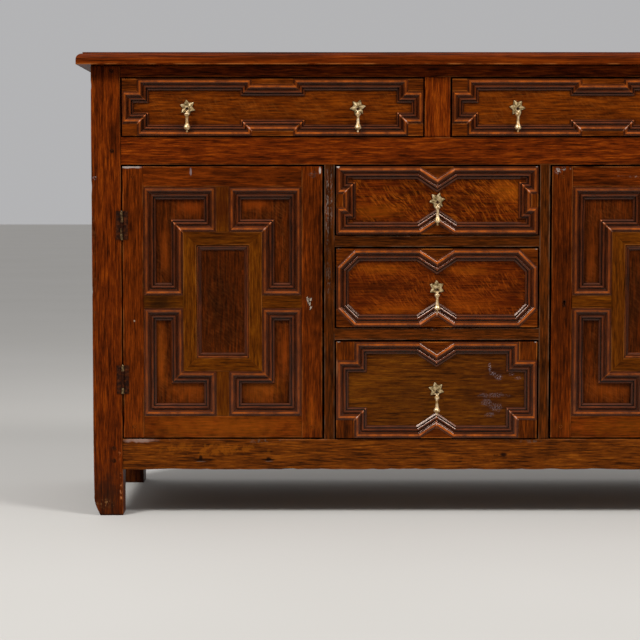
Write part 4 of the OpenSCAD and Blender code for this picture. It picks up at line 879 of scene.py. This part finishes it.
# Lower and sloping lengths get more rubbed colour than upper and upright ones: partly wear from cloths and
# feet, partly painted highlight where they face the lights above
DRAWER_RUB_AND_LIGHT = {"lower": 0.95, "upper": 0.8, "upright": 0.4, "sloping": 1.15}
DOOR_RUB_AND_LIGHT = {"lower": 0.74, "upper": 0.42, "upright": 0.27, "sloping": 0.7}


def rub_and_light_share(direction, rubs):
    """How much rubbed colour a length gets by the way it runs: wear, with painted highlight on lengths that
    face the lights.
    """
    if abs(direction.x) < 0.3:
        return rubs["upright"]
    if abs(direction.y) > 0.3:
        return rubs["sloping"]
    return rubs["lower"] if direction.x > 0 else rubs["upper"]


# %% The mouldings of the drawers and the doors
Moulding = namedtuple("Moulding", "mesh scale wear top rubs")
WIDE = Moulding(
    geometric_section(TOP_DRAWER_W, MOULD_H), TOP_DRAWER_W / SECTION_W, wear_of, MOULD_H, DRAWER_RUB_AND_LIGHT
)
STACK = Moulding(geometric_section(SECTION_W, MOULD_H), 1.0, wear_of, MOULD_H, DRAWER_RUB_AND_LIGHT)
DOOR = Moulding(geometric_section(SECTION_W, DOOR_MOULD_H), 1.0, wear_of, DOOR_MOULD_H, DOOR_RUB_AND_LIGHT)
CENTRE = Moulding(small_section(10, 6), 1.0, small_wear_of, 6.0, DOOR_RUB_AND_LIGHT)
print("corners of the geometric section:", len(STACK.mesh.vertices))


# %% Cut one mitred length
SPARE = 60 * MM


def mitred_blank(mesh, length, direction, inside, ends):
    """The section run out past both ends and cut back by the mitre planes. Also gives the
    salient corners: the place of each, the normal of its mitre, and how pale it is painted,
    bare wood with a painted glint that is strongest where the corner faces up to the lights."""
    bm = bmesh.new()
    bm.from_mesh(mesh)
    board_layers(bm)
    bmesh.ops.translate(bm, verts=bm.verts[:], vec=(0, -SPARE, 0))
    pushed_out(bm, bm.faces[:], (0, length + 2 * SPARE, 0))
    salient = []
    for near, place, first in zip(ends, (MITRE_GAP * MM, length - MITRE_GAP * MM), (True, False)):
        # The neighbour's direction, across this length and along it
        seen = (Vector((near.dot(inside), near.dot(direction))) + Vector((0, 1))).normalized()
        cut(bm, (0, place, 0), (seen.x, seen.y, 0), 1e-7, clear_inner=first, clear_outer=not first)
        bend = near.cross(direction) if first else direction.cross(near)
        if bend < -0.1:
            # A salient corner gets a pale painted glint, strong where a length faces up to the lights and
            # weak elsewhere, at a random strength
            faces_up = 1.0 if max(direction.x, near.x) > 0.3 else 0.25
            salient.append((Vector((0, place)), seen, random.uniform(0.4, 1.0) * faces_up))
    for place, seen, _ in salient:
        for side in (-1, 1):
            apart = place + seen * side * BARE_AND_GLINT_CORNER * MM
            cut(bm, (apart.x, apart.y, 0), (seen.x, seen.y, 0))
    low, high = box_of(bm.verts)
    steps = max(1, int((high.y - low.y) / (STEP_ALONG * MM)))
    for k in range(1, steps):
        cut(bm, (0, low.y + (high.y - low.y) * k / steps, 0), (0, 1, 0))
    return bm, salient


# %% Wear a length, with its painted highlights and shade
# Near the ends of a length the crests get more rubbed colour: worn mitres, with painted glints
END_RUB_AND_GLINT = 9


def wear_length(bm, moulding, length, level, salient):
    """Writes the rubbed colour (wear with painted highlight), the darkening (old wax and dust with painted
    shade) and the grain on a length, and wears its crests down unevenly.
    """
    grain = bm.verts.layers.float_vector["grain"]
    rub, dirt_and_shade, tone = [bm.verts.layers.float[name] for name in ("rub", "dirt_and_shade", "tone")]
    low, high = box_of(bm.verts)
    own = random.random()
    start = random.uniform(0, 50)
    for vert in bm.verts:
        u, along, h = vert.co / MM
        wear_and_glint, dark_share = moulding.wear(u / moulding.scale, (moulding.top - h) / moulding.scale)
        if min(along - low.y / MM, high.y / MM - along) < END_RUB_AND_GLINT and wear_and_glint > 0.25:
            wear_and_glint = min(1.25, wear_and_glint * 1.3)
        bare = 0.0
        if dark_share < 0.45:
            for place, seen, strength in salient:
                away = abs((vert.co.xy - place).dot(seen)) / MM
                bare = max(bare, strength * max(0.0, 1 - away / BARE_AND_GLINT_CORNER))
        lively = 0.5 + 0.5 * noise.noise(Vector((along / 22 + start, own * 9, 0)))
        vert[grain] = Vector((along - 500 * length, u - 12, h - 5)) * MM
        # Rubbed colour: wear with painted highlight, plus the pale painted glint of salient corners
        vert[rub] = wear_and_glint * level * (0.5 + 0.75 * lively) + bare * 2
        vert[dirt_and_shade] = dark_share
        vert[tone] = own
        if h > 1:
            vert.co.z -= wear_and_glint * (0.1 + 0.55 * lively ** 2) * MM
            vert.co.x += 0.12 * noise.noise(Vector((along / 30 + start, 3, own))) * MM


# %% A run of lengths
def moulded_length(outline, i, moulding, base_y):
    """One length of a run, between the corners i and i + 1 of its outline."""
    corner = [Vector(outline[(i + k) % len(outline)]) * MM for k in (-1, 0, 1, 2)]
    before, direction, after = [(corner[k + 1] - corner[k]).normalized() for k in range(3)]
    inside = Vector((-direction.y, direction.x))
    length = (corner[2] - corner[1]).length
    bm, salient = mitred_blank(moulding.mesh, length, direction, inside, (before, after))
    wear_length(bm, moulding, length, rub_and_light_share(direction, moulding.rubs), salient)
    bmesh.ops.holes_fill(bm, edges=[e for e in bm.edges if len(e.link_faces) < 2], sides=0)
    turn = Matrix((
        (inside.x, direction.x, 0, corner[1].x), (0, 0, -1, base_y),
        (inside.y, direction.y, 0, corner[1].y), (0, 0, 0, 1)
    ))
    bmesh.ops.transform(bm, matrix=turn, verts=bm.verts[:])
    outwards(bm)
    return bm


def run(bm, outline, moulding, base_y):
    """All the lengths round an outline, which runs anticlockwise with its inside on the left."""
    for i in range(len(outline)):
        join_into(bm, moulded_length(outline, i, moulding, base_y))


# %% Blocks that fill the pattern out to the edges
def plate(outline, base_y, thick, arris):
    """A flat plate with eased front edges, from an outline of (x, z) in millimetres."""
    part = bmesh.new()
    face = part.faces.new([part.verts.new((x * MM, base_y, z * MM)) for x, z in outline])
    moved = pushed_out(part, [face], (0, -thick * MM, 0))
    ease(part, [e for e in part.edges if all(v in moved for v in e.verts)], arris)
    outwards(part)
    return part


def block(bm, footprint, along):
    """A block of the pattern; along is the axis that its grain follows."""
    part = plate(footprint, FIELD_Y, BLOCK_H, 0.7)
    board_layers(part)
    write_grain(part, part.verts[:], *box_of(part.verts), random.random(), along)
    take_second(part.faces)
    join_into(bm, part)


# %% [markdown]
# ## The patterns
#
# Every drawer front has its own outline. The long sides break at the centre into a V,
# and the ends differ from row to row: side blocks, cut corners, square corners. The
# outlines are written from the lower left corner of each front, in millimetres.

# %% Outlines of the drawer fronts
FIELD_Y = FRONT_Y + 3 * MM
BLOCK_H = 6.5
V_HALF, V_RISE = 32.0, 21.0
SIDE_BLOCK = (13.6, 25.0)
CORNER_CUT = 35.0
CORNER_SQUARE = 35.5
TOP_CORNER = (29.0, 24.0)
STEP = (80.0, 10.0)


def turned_half(points, w, h):
    """Points turned about the middle of a front."""
    return [(w - x, h - z) for x, z in points]


def low_v(w):
    return [(w / 2 - V_HALF, 0), (w / 2, V_RISE), (w / 2 + V_HALF, 0)]


# Each outline is given to its middle; the other half is the same, turned
def upper_half(w, h):
    s, low, high = SIDE_BLOCK[0], h / 2 - SIDE_BLOCK[1] / 2, h / 2 + SIDE_BLOCK[1] / 2
    return [(0, 0)] + low_v(w) + [(w, 0), (w, low), (w - s, low), (w - s, high), (w, high)]


def second_half(w, h):
    c = CORNER_CUT
    return [(c, 0)] + low_v(w) + [(w - c, 0), (w, c), (w, h - c)]


def lowest_half(w, h):
    c = CORNER_SQUARE
    return [(c, 0)] + low_v(w) + [(w - c, 0), (w - c, c), (w, c), (w, h - c), (w - c, h - c)]


def top_half(w, h):
    (a, b), (s, t), m = TOP_CORNER, (STEP[0] / 2, STEP[1]), w / 2
    step = [(m - s, 0), (m - s, t), (m + s, t), (m + s, 0)]
    return [(a, 0)] + step + [(w - a, 0), (w - a, b), (w, b), (w, h - b), (w - a, h - b)]


# %% Blocks of the drawer fronts
def rectangle(x0, z0, x1, z1):
    return [(x0, z0), (x1, z0), (x1, z1), (x0, z1)]


def facing_pair(points, w, h, along=0):
    """A block and its counterpart on the opposite side of the front."""
    return [(points, along), (turned_half(points, w, h), along)]


def corner_blocks(w, h, a, b, along):
    """Rectangles in the four corners, anticlockwise from the lower left."""
    places = [(0, 0), (w - a, 0), (w - a, h - b), (0, h - b)]
    return [(rectangle(x, z, x + a, z + b), along) for x, z in places]


def v_blocks(w, h):
    return facing_pair([low_v(w)[i] for i in (0, 2, 1)], w, h)


def upper_blocks(w, h):
    s, low, high = SIDE_BLOCK[0], h / 2 - SIDE_BLOCK[1] / 2, h / 2 + SIDE_BLOCK[1] / 2
    return v_blocks(w, h) + facing_pair(rectangle(0, low, s, high), w, h, along=2)


def second_blocks(w, h):
    c = CORNER_CUT
    left, right = facing_pair([(0, 0), (c, 0), (0, c)], w, h)
    low, high = facing_pair([(w, 0), (w, c), (w - c, 0)], w, h)
    return v_blocks(w, h) + [left, low, right, high]


def lowest_blocks(w, h):
    return v_blocks(w, h) + corner_blocks(w, h, CORNER_SQUARE, CORNER_SQUARE, 2)


def top_blocks(w, h):
    step = rectangle((w - STEP[0]) / 2, 0, (w + STEP[0]) / 2, STEP[1])
    return facing_pair(step, w, h) + corner_blocks(w, h, *TOP_CORNER, 0)


# %% Plant the mouldings on the drawer fronts
def plant(drawer, half, moulding, blocks):
    """The moulding and the blocks of one drawer, as one piece that replaces its node."""
    node = drawer + "_mouldings"
    low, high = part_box(node)
    x0, z0 = low.x / MM, low.z / MM
    w, h = (high.x - low.x) / MM, (high.z - low.z) / MM
    bm = bmesh.new()
    board_layers(bm)
    outline = half(w, h) + turned_half(half(w, h), w, h)
    run(bm, [(x0 + x, z0 + z) for x, z in outline], moulding, FIELD_Y)
    for footprint, along in blocks(w, h):
        block(bm, [(x0 + x, z0 + z) for x, z in footprint], along)
    piece = stand_for(node, "_planted", bm, [OAK["moulding"], OAK["block"]], smooth=40)
    print(node, round(w, 1), "x", round(h, 1), "mm,", len(piece.data.polygons), "faces")


for drawer in ("left_top", "right_top"):
    plant(drawer, top_half, WIDE, top_blocks)
plant("upper", upper_half, STACK, upper_blocks)
plant("second", second_half, STACK, second_blocks)
plant("lowest", lowest_half, STACK, lowest_blocks)

# %% [markdown]
# ## The doors
#
# Four L-shaped runs of the same moulding stand round a mitred frame in the middle of
# each door. One L is drawn for the lower left corner of the right-hand door and turned
# over into the other corners. A mirrored outline runs the wrong way round, so its order
# is turned back.

# %% Plant the mouldings on the doors
LIGHT = (263.0, 196.5, 569.5, 642.0)
INNER = (339.5, 283.5, 493.0, 555.0)
STRIP_W = 26.0
SHORT_HALF = 12.5
DOOR_CX = (LIGHT[0] + LIGHT[2]) / 2
LIGHT_CZ = (LIGHT[1] + LIGHT[3]) / 2
PANEL_Y = FRONT_Y + 8 * MM


def mirrored(outline, in_x, in_z, centre_x=DOOR_CX):
    """An outline turned over left to right, upside down or both, still anticlockwise."""
    turned = [(2 * centre_x - x if in_x else x, 2 * LIGHT_CZ - z if in_z else z) for x, z in outline]
    return turned[::-1] if in_x != in_z else turned


corner_run = [
    (LIGHT[0], LIGHT[1]), (DOOR_CX - SHORT_HALF, LIGHT[1]), (DOOR_CX - SHORT_HALF, INNER[1]),
    (INNER[0], INNER[1]), (INNER[0], LIGHT_CZ - SHORT_HALF), (LIGHT[0], LIGHT_CZ - SHORT_HALF)
]
centre_run = rectangle(INNER[0] + STRIP_W, INNER[1] + STRIP_W, INNER[2] - STRIP_W, INNER[3] - STRIP_W)
door_runs = [(mirrored(corner_run, mx, mz), DOOR) for mx in (False, True) for mz in (False, True)]
door_runs.append((centre_run, CENTRE))
for side in ("left", "right"):
    bm = bmesh.new()
    board_layers(bm)
    for outline, moulding in door_runs:
        if side == "left":
            outline = mirrored(outline, True, False, centre_x=0)
        run(bm, outline, moulding, PANEL_Y)
    piece = stand_for(side + "_door_mouldings", "_planted", bm, [OAK["moulding"]], smooth=40)
    print(piece.name, len(piece.data.polygons), "faces")

# %% [markdown]
# ## Brass and iron
#
# The pulls are cast brass that has gone pale and dull in its hollows, and fingers keep
# the drops brighter than the plates. The hinges and the locks are dark iron under old
# wax. The ends of the knuckles are painted with glints in a brass colour, and the same dark
# iron paints the shade in the eyes of the pulls and on the tops of their rings.


# %% Metal finishes
def old_metal(name, hollow, face, bright, metallic, rough, shine=0.5):
    """Cast or wrought metal: dull in the hollows, bright where it is handled."""
    material, tree = new_material(name)
    place = add(tree, "TexCoord", out="Object")
    cloud = pattern(tree, place, 6, 6, 6, detail=4.0, rough=0.6)
    corner = add(tree, "AmbientOcclusion", {"Distance": 0.004}, out="AO", samples=6)
    base = stain(tree, linear(hollow), face, fade(tree, cloud, 0.35, 0.6))
    base = stain(tree, base, bright, fade(tree, cloud, 0.50, 0.75))
    base = stain(tree, base, hollow, fade(tree, corner, 0.8, 0.3))
    surface(tree, {
        "Base Color": base,
        "Metallic": metallic,
        "Roughness": rough,
        "Specular IOR Level": shine,
        "Normal": add(tree, "Bump", {"Height": cloud, "Strength": 0.3, "Distance": 0.0004})
    })
    return material


BRASS = old_metal("aged_cast_brass", "#645028", "#c2a474", "#ead4a8", 0.55, 0.38)
IRON_AND_SHADE = old_metal("waxed_wrought_iron_and_painted_shade", "#1a0802", "#381603", "#522408", 0.1, 0.5, shine=0.1)
GLEAM = old_metal("painted_knuckle_glints_brass", "#2c1808", "#6e5430", "#b49c6c", 0.5, 0.36)
CASTING = old_metal("rubbed_cast_brass", "#94703c", "#e2c090", "#fff0c8", 0.42, 0.36)
WORN_IRON = old_metal("bright_worn_iron", "#6a5a4c", "#ac9a88", "#dccab4", 0.45, 0.4)

# %% [markdown]
# ## The pulls
#
# A pull is three pieces: a cast star plate with six ridged points, a wire staple through
# the drawer front, and a turned drop that swings on it by a ring. The star starts as a
# circle of 24 points, whose radii alternate between tip, shoulder and valley. A raised
# ring is spun round the eye that the staple goes through, and the eye is a dark iron disc:
# painted shade in the hole. The drop is its outline spun round the vertical, and the upper
# half of its ring is dark too, painted shade.

# %% Sizes of a pull
PULL_OUT = 17.0
STAR_LIFT = 2.5
STAR_T = 1.2
STAR_RIDGE = 0.8
STAR_RADII = (15.5, 11.4, 9.2, 11.4)
BOSS_R, BOSS_WIRE = 5.2, 1.9
BOSS_LOW = 3.0
EYE_R, EYE_T = 4.6, 1.0
RING_R = 3.0
RING_WIRE = 1.15
STAPLE_WIRE = 0.8
STAPLE_LOOP = RING_WIRE + 0.08 + STAPLE_WIRE
STAPLE_LEG = 39
DROP_OUTLINE = [
    (0, 2.4), (1.5, 2.5), (1.9, 4.6), (3.6, 5.7), (5.0, 6.8), (5.0, 8.3), (4.3, 10.0), (2.9, 11.8),
    (2.3, 13.2), (2.4, 19.0), (3.2, 26.6), (5.1, 30.4), (6.2, 32.6), (6.2, 34.2), (5.4, 35.9),
    (3.4, 37.4), (1.7, 38.4), (1.4, 39.6), (1.9, 41.2), (1.3, 42.6), (0, 43)
]


def pull_point(drop):
    """The middle of the staple's loop of a drop, from the box of its node."""
    low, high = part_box(drop)
    return Vector(((low.x + high.x) / 2, FIELD_Y - PULL_OUT * MM, high.z - RING_WIRE * MM))


# %% Wire and star
UPRIGHT = Matrix.Rotation(math.pi / 2, 4, "X")


def hoop(wire, radius, segments, angle=math.tau, steps=24):
    """Wire bent round the Y axis into a ring, or into a part of one."""
    bm = bmesh.new()
    circle = bmesh.ops.create_circle(bm, cap_ends=False, radius=wire * MM, segments=segments)
    bmesh.ops.translate(bm, verts=circle["verts"], vec=(radius * MM, 0, 0))
    bmesh.ops.spin(
        bm, geom=bm.verts[:] + bm.edges[:], cent=(0, 0, 0), axis=(0, 1, 0), angle=angle, steps=steps,
        use_merge=angle == math.tau
    )
    bmesh.ops.remove_doubles(bm, verts=bm.verts[:], dist=1e-6)
    return bm


def star():
    """A six-pointed star with raised ridges, lying on its back."""
    part = bmesh.new()
    made = bmesh.ops.create_circle(part, cap_ends=True, radius=MM, segments=24)["verts"]
    for number, vert in enumerate(made):
        vert.co *= STAR_RADII[number % 4]
    top = pushed_out(part, part.faces[:], (0, 0, STAR_T * MM))
    face = [f for f in part.faces if all(v in top for v in f.verts)]
    centre = bmesh.ops.poke(part, faces=face)["verts"][0]
    centre.co.z += STAR_RIDGE * MM
    inner = bmesh.ops.subdivide_edges(part, edges=centre.link_edges[:], cuts=1)["geom_inner"]
    for vert in inner:
        if isinstance(vert, bmesh.types.BMVert):
            far = max((e.other_vert(vert).co.xy.length for e in vert.link_edges), default=0)
            vert.co.z += (0.7 if far > 15 * MM else -0.3) * MM
    outwards(part)
    return part


def boss():
    """The raised ring round the staple's hole, and the eye: a dark disc that paints the shade in the hole.
    """
    bm = hoop(BOSS_WIRE, BOSS_R, 10)
    outwards(bm)
    eye = bmesh.ops.create_cone(
        bm, cap_ends=True, segments=16, radius1=EYE_R * MM, radius2=EYE_R * MM, depth=EYE_T * MM,
        matrix=Matrix.Translation((0, -0.7 * MM, 0)) @ UPRIGHT
    )
    # The eye takes the dark iron finish: painted shade
    take_second(faces_of(eye["verts"]))
    lay_down = Matrix.Translation((0, -STAR_LIFT * MM, -BOSS_LOW * MM)) @ UPRIGHT
    bmesh.ops.transform(bm, matrix=lay_down, verts=bm.verts[:])
    return bm


# %% Star plate, staple and drop
def star_plate(bm, point, turn):
    """The boss and the star, flat on the drawer field; turn is how far the star is turned."""
    placed = Matrix.Translation((point.x, FIELD_Y, point.z + STAR_LIFT * MM)) @ UPRIGHT
    turned = placed @ Matrix.Rotation(math.radians(turn), 4, "Z")
    for part, matrix in ((boss(), placed), (star(), turned)):
        bmesh.ops.transform(part, matrix=matrix, verts=part.verts[:])
        join_into(bm, part)


def staple(bm, point):
    """Half a loop of wire in front of the plate, and its legs through the front board."""
    part = hoop(STAPLE_WIRE, STAPLE_LOOP, 10, math.pi, 10)
    ends = [e for e in part.edges if len(e.link_faces) < 2]
    grown = bmesh.ops.extrude_edge_only(part, edges=ends)["geom"]
    moved = [g for g in grown if isinstance(g, bmesh.types.BMVert)]
    bmesh.ops.translate(part, verts=moved, vec=(0, 0, STAPLE_LEG * MM))
    bmesh.ops.holes_fill(part, edges=[e for e in part.edges if len(e.link_faces) < 2], sides=0)
    outwards(part)
    # The loop was bent across X and opens along Z; now it stands upright and opens to the back
    upright = Matrix(((0, 1, 0, point.x), (0, 0, 1, point.y), (1, 0, 0, point.z), (0, 0, 0, 1)))
    bmesh.ops.transform(part, matrix=upright, verts=part.verts[:])
    take_second(part.faces)
    join_into(bm, part)


def turned_drop(drop):
    """The ring and the turned drop, one casting."""
    bm = bmesh.new()
    chain = [bm.verts.new((r * MM, 0, -z * MM)) for r, z in DROP_OUTLINE]
    edges = [bm.edges.new(pair) for pair in zip(chain, chain[1:])]
    bmesh.ops.spin(
        bm, geom=chain + edges, cent=(0, 0, 0), axis=(0, 0, 1), angle=math.tau, steps=20, use_merge=True
    )
    bmesh.ops.remove_doubles(bm, verts=bm.verts[:], dist=1e-6)
    ring = hoop(RING_WIRE, RING_R, 12)
    # The upper half of the ring takes the dark iron finish: painted shade where it hangs in front of the
    # eye
    take_second([face for face in ring.faces if face.calc_center_median().z > 0.5 * MM])
    join_into(bm, ring)
    outwards(bm)
    bmesh.ops.translate(bm, verts=bm.verts[:], vec=pull_point(drop) - Vector((0, 0, RING_R * MM)))
    stand_for(drop, "_cast", bm, [CASTING, IRON_AND_SHADE], smooth=60)


# %% Cast the pulls
PULLS = {
    "left_top_pull_plates": (("left_outer_drop", 10), ("left_inner_drop", 40)),
    "right_top_pull_plates": (("right_inner_drop", 25), ("right_outer_drop", 0)),
    "upper_pull_plate": (("upper_drop", 40),),
    "second_pull_plate": (("second_drop", 2),),
    "lowest_pull_plate": (("lowest_drop", 13),),
}
for node, drops in PULLS.items():
    bm = bmesh.new()
    for drop, turn in drops:
        star_plate(bm, pull_point(drop), turn)
        staple(bm, pull_point(drop))
        turned_drop(drop)
    stand_for(node, "_cast", bm, [BRASS, IRON_AND_SHADE], smooth=25)
print("pulls cast:", sum(len(drops) for drops in PULLS.values()))


# %% Hinges, locks and bolts
HINGE_X = 611.0
KNUCKLE_R = 2.6
# The height of each hinge, and how far up and down from its middle the knuckle stays dark; beyond that it
# gets painted glints
HINGES = ((267.5, 20), (567.5, 11))
POST_NAIL_X, DOOR_NAIL_X = 618.5, 603.5
NAIL_R = 1.5
NAIL_PITCH = 19


def metal_piece(node, finish, arris):
    """A packed metal node with its edges eased."""
    bm = merged_copy(node)
    sharp = [e for e in bm.edges if len(e.link_faces) == 2 and e.calc_face_angle(0) > math.radians(60)]
    ease(bm, sharp, arris, segments=1, clamp=True)
    return stand_for(node, "_worn", bm, [finish])


def paint_knuckle_glints(piece):
    """The ends of the knuckles, away from the middle of each hinge, take a brass finish: painted glints."""
    piece.data.materials.append(GLEAM)
    for face in piece.data.polygons:
        x, z = abs(face.center.x) / MM, face.center.z / MM
        middle, dark_reach = min(HINGES, key=lambda hinge: abs(z - hinge[0]))
        if abs(z - middle) > dark_reach and abs(x - HINGE_X) < KNUCKLE_R + 0.1:
            take_second([face])


def hinge_nails(name, xs, body):
    """Clout nails through the leaves: a flattened ball for each head, sunk to its middle."""
    bm = bmesh.new()
    for x in xs:
        for hinge_z, _ in HINGES:
            for rise in (-NAIL_PITCH, 0, NAIL_PITCH):
                head = bmesh.ops.create_icosphere(bm, subdivisions=2, radius=NAIL_R * MM)["verts"]
                bmesh.ops.scale(bm, verts=head, vec=(1, 0.5, 1))
                spot = (x * MM, FRONT_Y - 1.2 * MM, (hinge_z + rise + random.uniform(-1, 1)) * MM)
                bmesh.ops.translate(bm, verts=head, vec=spot)
    finish_piece(name, bm, [IRON_AND_SHADE], body, smooth=60)


paint_knuckle_glints(metal_piece("fixed_hinge_leaves", IRON_AND_SHADE, 0.2))
hinge_nails("fixed_leaf_nails", (-POST_NAIL_X, POST_NAIL_X), "root")
for side, sign in (("left", -1), ("right", 1)):
    paint_knuckle_glints(metal_piece(side + "_door_hinge_leaves", IRON_AND_SHADE, 0.2))
    hinge_nails(side + "_door_leaf_nails", (sign * DOOR_NAIL_X,), node_body[side + "_door_frame"])
    metal_piece(side + "_door_lock", IRON_AND_SHADE, 0.3)
    metal_piece(side + "_lock_bolt", BRASS, 0.4)
print("hinges, locks and bolts finished")

# %% [markdown]
# ## Keyholes
#
# The right keyhole keeps a thin iron rim, let in round the hole. Of the left one only
# bent slivers are left, bright where the key rubs them. The rim is two loops of edges
# of the same number, bridged and given a wall; the slivers are flat outlines, extruded
# and bevelled.


# %% Keyhole rim
KEY_X, KEY_Z = 247.5, 419.5
# The radius of the eye, and the half width and the depth of the slot
RIM_OUTSIDE = (3.7, 2.6, 10.0)
RIM_INSIDE = (2.5, 1.35, 8.3)
RIM_T = 0.9


def keyhole_loop(bm, radius, slot_half, slot_low):
    """The outline of a keyhole as a closed loop of edges."""
    angles = [math.radians(-60 + k * (300 / 19)) for k in range(20)]
    ring = [(radius * math.cos(angle), radius * math.sin(angle)) for angle in angles]
    ring += [(-slot_half, -slot_low + 1), (0, -slot_low), (slot_half, -slot_low + 1)]
    verts = [bm.verts.new(((KEY_X + x) * MM, 0, (KEY_Z + z) * MM)) for x, z in ring]
    return [bm.edges.new(pair) for pair in zip(verts, verts[1:] + verts[:1])]


def keyhole_rim():
    bm = bmesh.new()
    bmesh.ops.bridge_loops(bm, edges=keyhole_loop(bm, *RIM_OUTSIDE) + keyhole_loop(bm, *RIM_INSIDE))
    outwards(bm)
    bmesh.ops.solidify(bm, geom=bm.faces[:], thickness=RIM_T * MM)
    low, _ = box_of(bm.verts)
    bmesh.ops.translate(bm, verts=bm.verts[:], vec=(0, FRONT_Y - 0.5 * MM - low.y, 0))
    outwards(bm)
    finish_piece("right_keyhole_rim", bm, [IRON_AND_SHADE], node_body["right_door_frame"])


keyhole_rim()
print("keyhole rim let in")


# %% Keyhole slivers
SLIVERS = (
    ((-253.2, 428.0), (-251.0, 429.0), (-249.6, 424.0), (-247.6, 415.6), (-250.0, 415.0), (-252.6, 421.6)),
    ((-246.6, 426.6), (-243.0, 426.8), (-243.6, 421.0), (-246.4, 420.6)),
    ((-249.4, 426.4), (-247.8, 426.6), (-247.6, 421.4), (-248.8, 421.4)),
    ((-246.8, 419.4), (-245.0, 418.8), (-245.4, 411.6), (-248.6, 411.2)),
    ((-246.4, 409.6), (-241.6, 410.8), (-244.8, 404.4), (-247.2, 403.0)),
)
bm = bmesh.new()
for outline in SLIVERS:
    join_into(bm, plate(outline, FRONT_Y + 0.3 * MM, 1.1, 0.25))
finish_piece("left_keyhole_slivers", bm, [WORN_IRON], node_body["left_door_frame"])
print("keyhole slivers:", len(SLIVERS))

# %% [markdown]
# ## Floor and light
#
# A plain pale floor, two large soft lights high in front, one to each side, and a sky
# that is bright overhead, dim before the dresser and lighter behind it, as in a studio
# with a white ceiling. Waxed dark wood shows what stands in front of it, so the space
# before the dresser is kept quiet.


# %% Floor and lights
def pale_paint():
    """Matt floor paint, rolled on: faint cloudy patches."""
    material, tree = new_material("pale_floor_paint")
    cloud = pattern(tree, add(tree, "TexCoord", out="Object"), 900, 900, 900)
    tint = stain(tree, linear("#c4c1bb"), "#ccc9c4", cloud)
    surface(tree, {"Base Color": tint, "Roughness": 0.9, "Specular IOR Level": 0.2})
    return material


grid = bmesh.new()
bmesh.ops.create_grid(grid, x_segments=1, y_segments=1, size=40.0)
floor = bpy.data.objects.new("floor", as_mesh(grid, "floor"))
floor.data.materials.append(pale_paint())
bpy.context.scene.collection.objects.link(floor)


def soft_light(name, place, aim, size, watts):
    """A large soft lamp that looks from its place to its aim."""
    lamp = bpy.data.lights.new(name, "AREA")
    lamp.shape = "RECTANGLE"
    lamp.size, lamp.size_y = size
    lamp.energy = watts
    lamp.spread = math.radians(110)
    holder = bpy.data.objects.new(name, lamp)
    holder.location = place
    holder.rotation_euler = (Vector(aim) - Vector(place)).to_track_quat("-Z", "Y").to_euler()
    bpy.context.scene.collection.objects.link(holder)


soft_light("left_softbox", (-2.3, -2.4, 3.4), (-0.2, 0, 0.45), (1.0, 0.9), 43)
soft_light("right_softbox", (2.45, -2.45, 3.3), (0.1, 0, 0.45), (1.1, 0.9), 38)


# %% The sky of the studio
def studio_sky(front, behind, overhead):
    """A plain grey sky: bright overhead, low before the dresser and higher behind it."""
    world = bpy.data.worlds.new("studio")
    world.use_nodes = True
    tree = world.node_tree
    way = add(tree, "SeparateXYZ", {0: add(tree, "TexCoord", out="Generated")}).node.outputs
    horizon = fade(tree, way[1], -0.5, 0.8, front, behind)
    strength = fade(tree, way[2], 0.2, 0.9, horizon, overhead)
    background = tree.nodes["Background"].inputs
    tree.links.new(strength, background[1])
    background[0].default_value = linear("#f4f4f6")
    bpy.context.scene.world = world


studio_sky(0.1, 0.5, 0.7)
bpy.context.scene.view_settings.view_transform = "Standard"
print("lights:", len(bpy.data.lights))
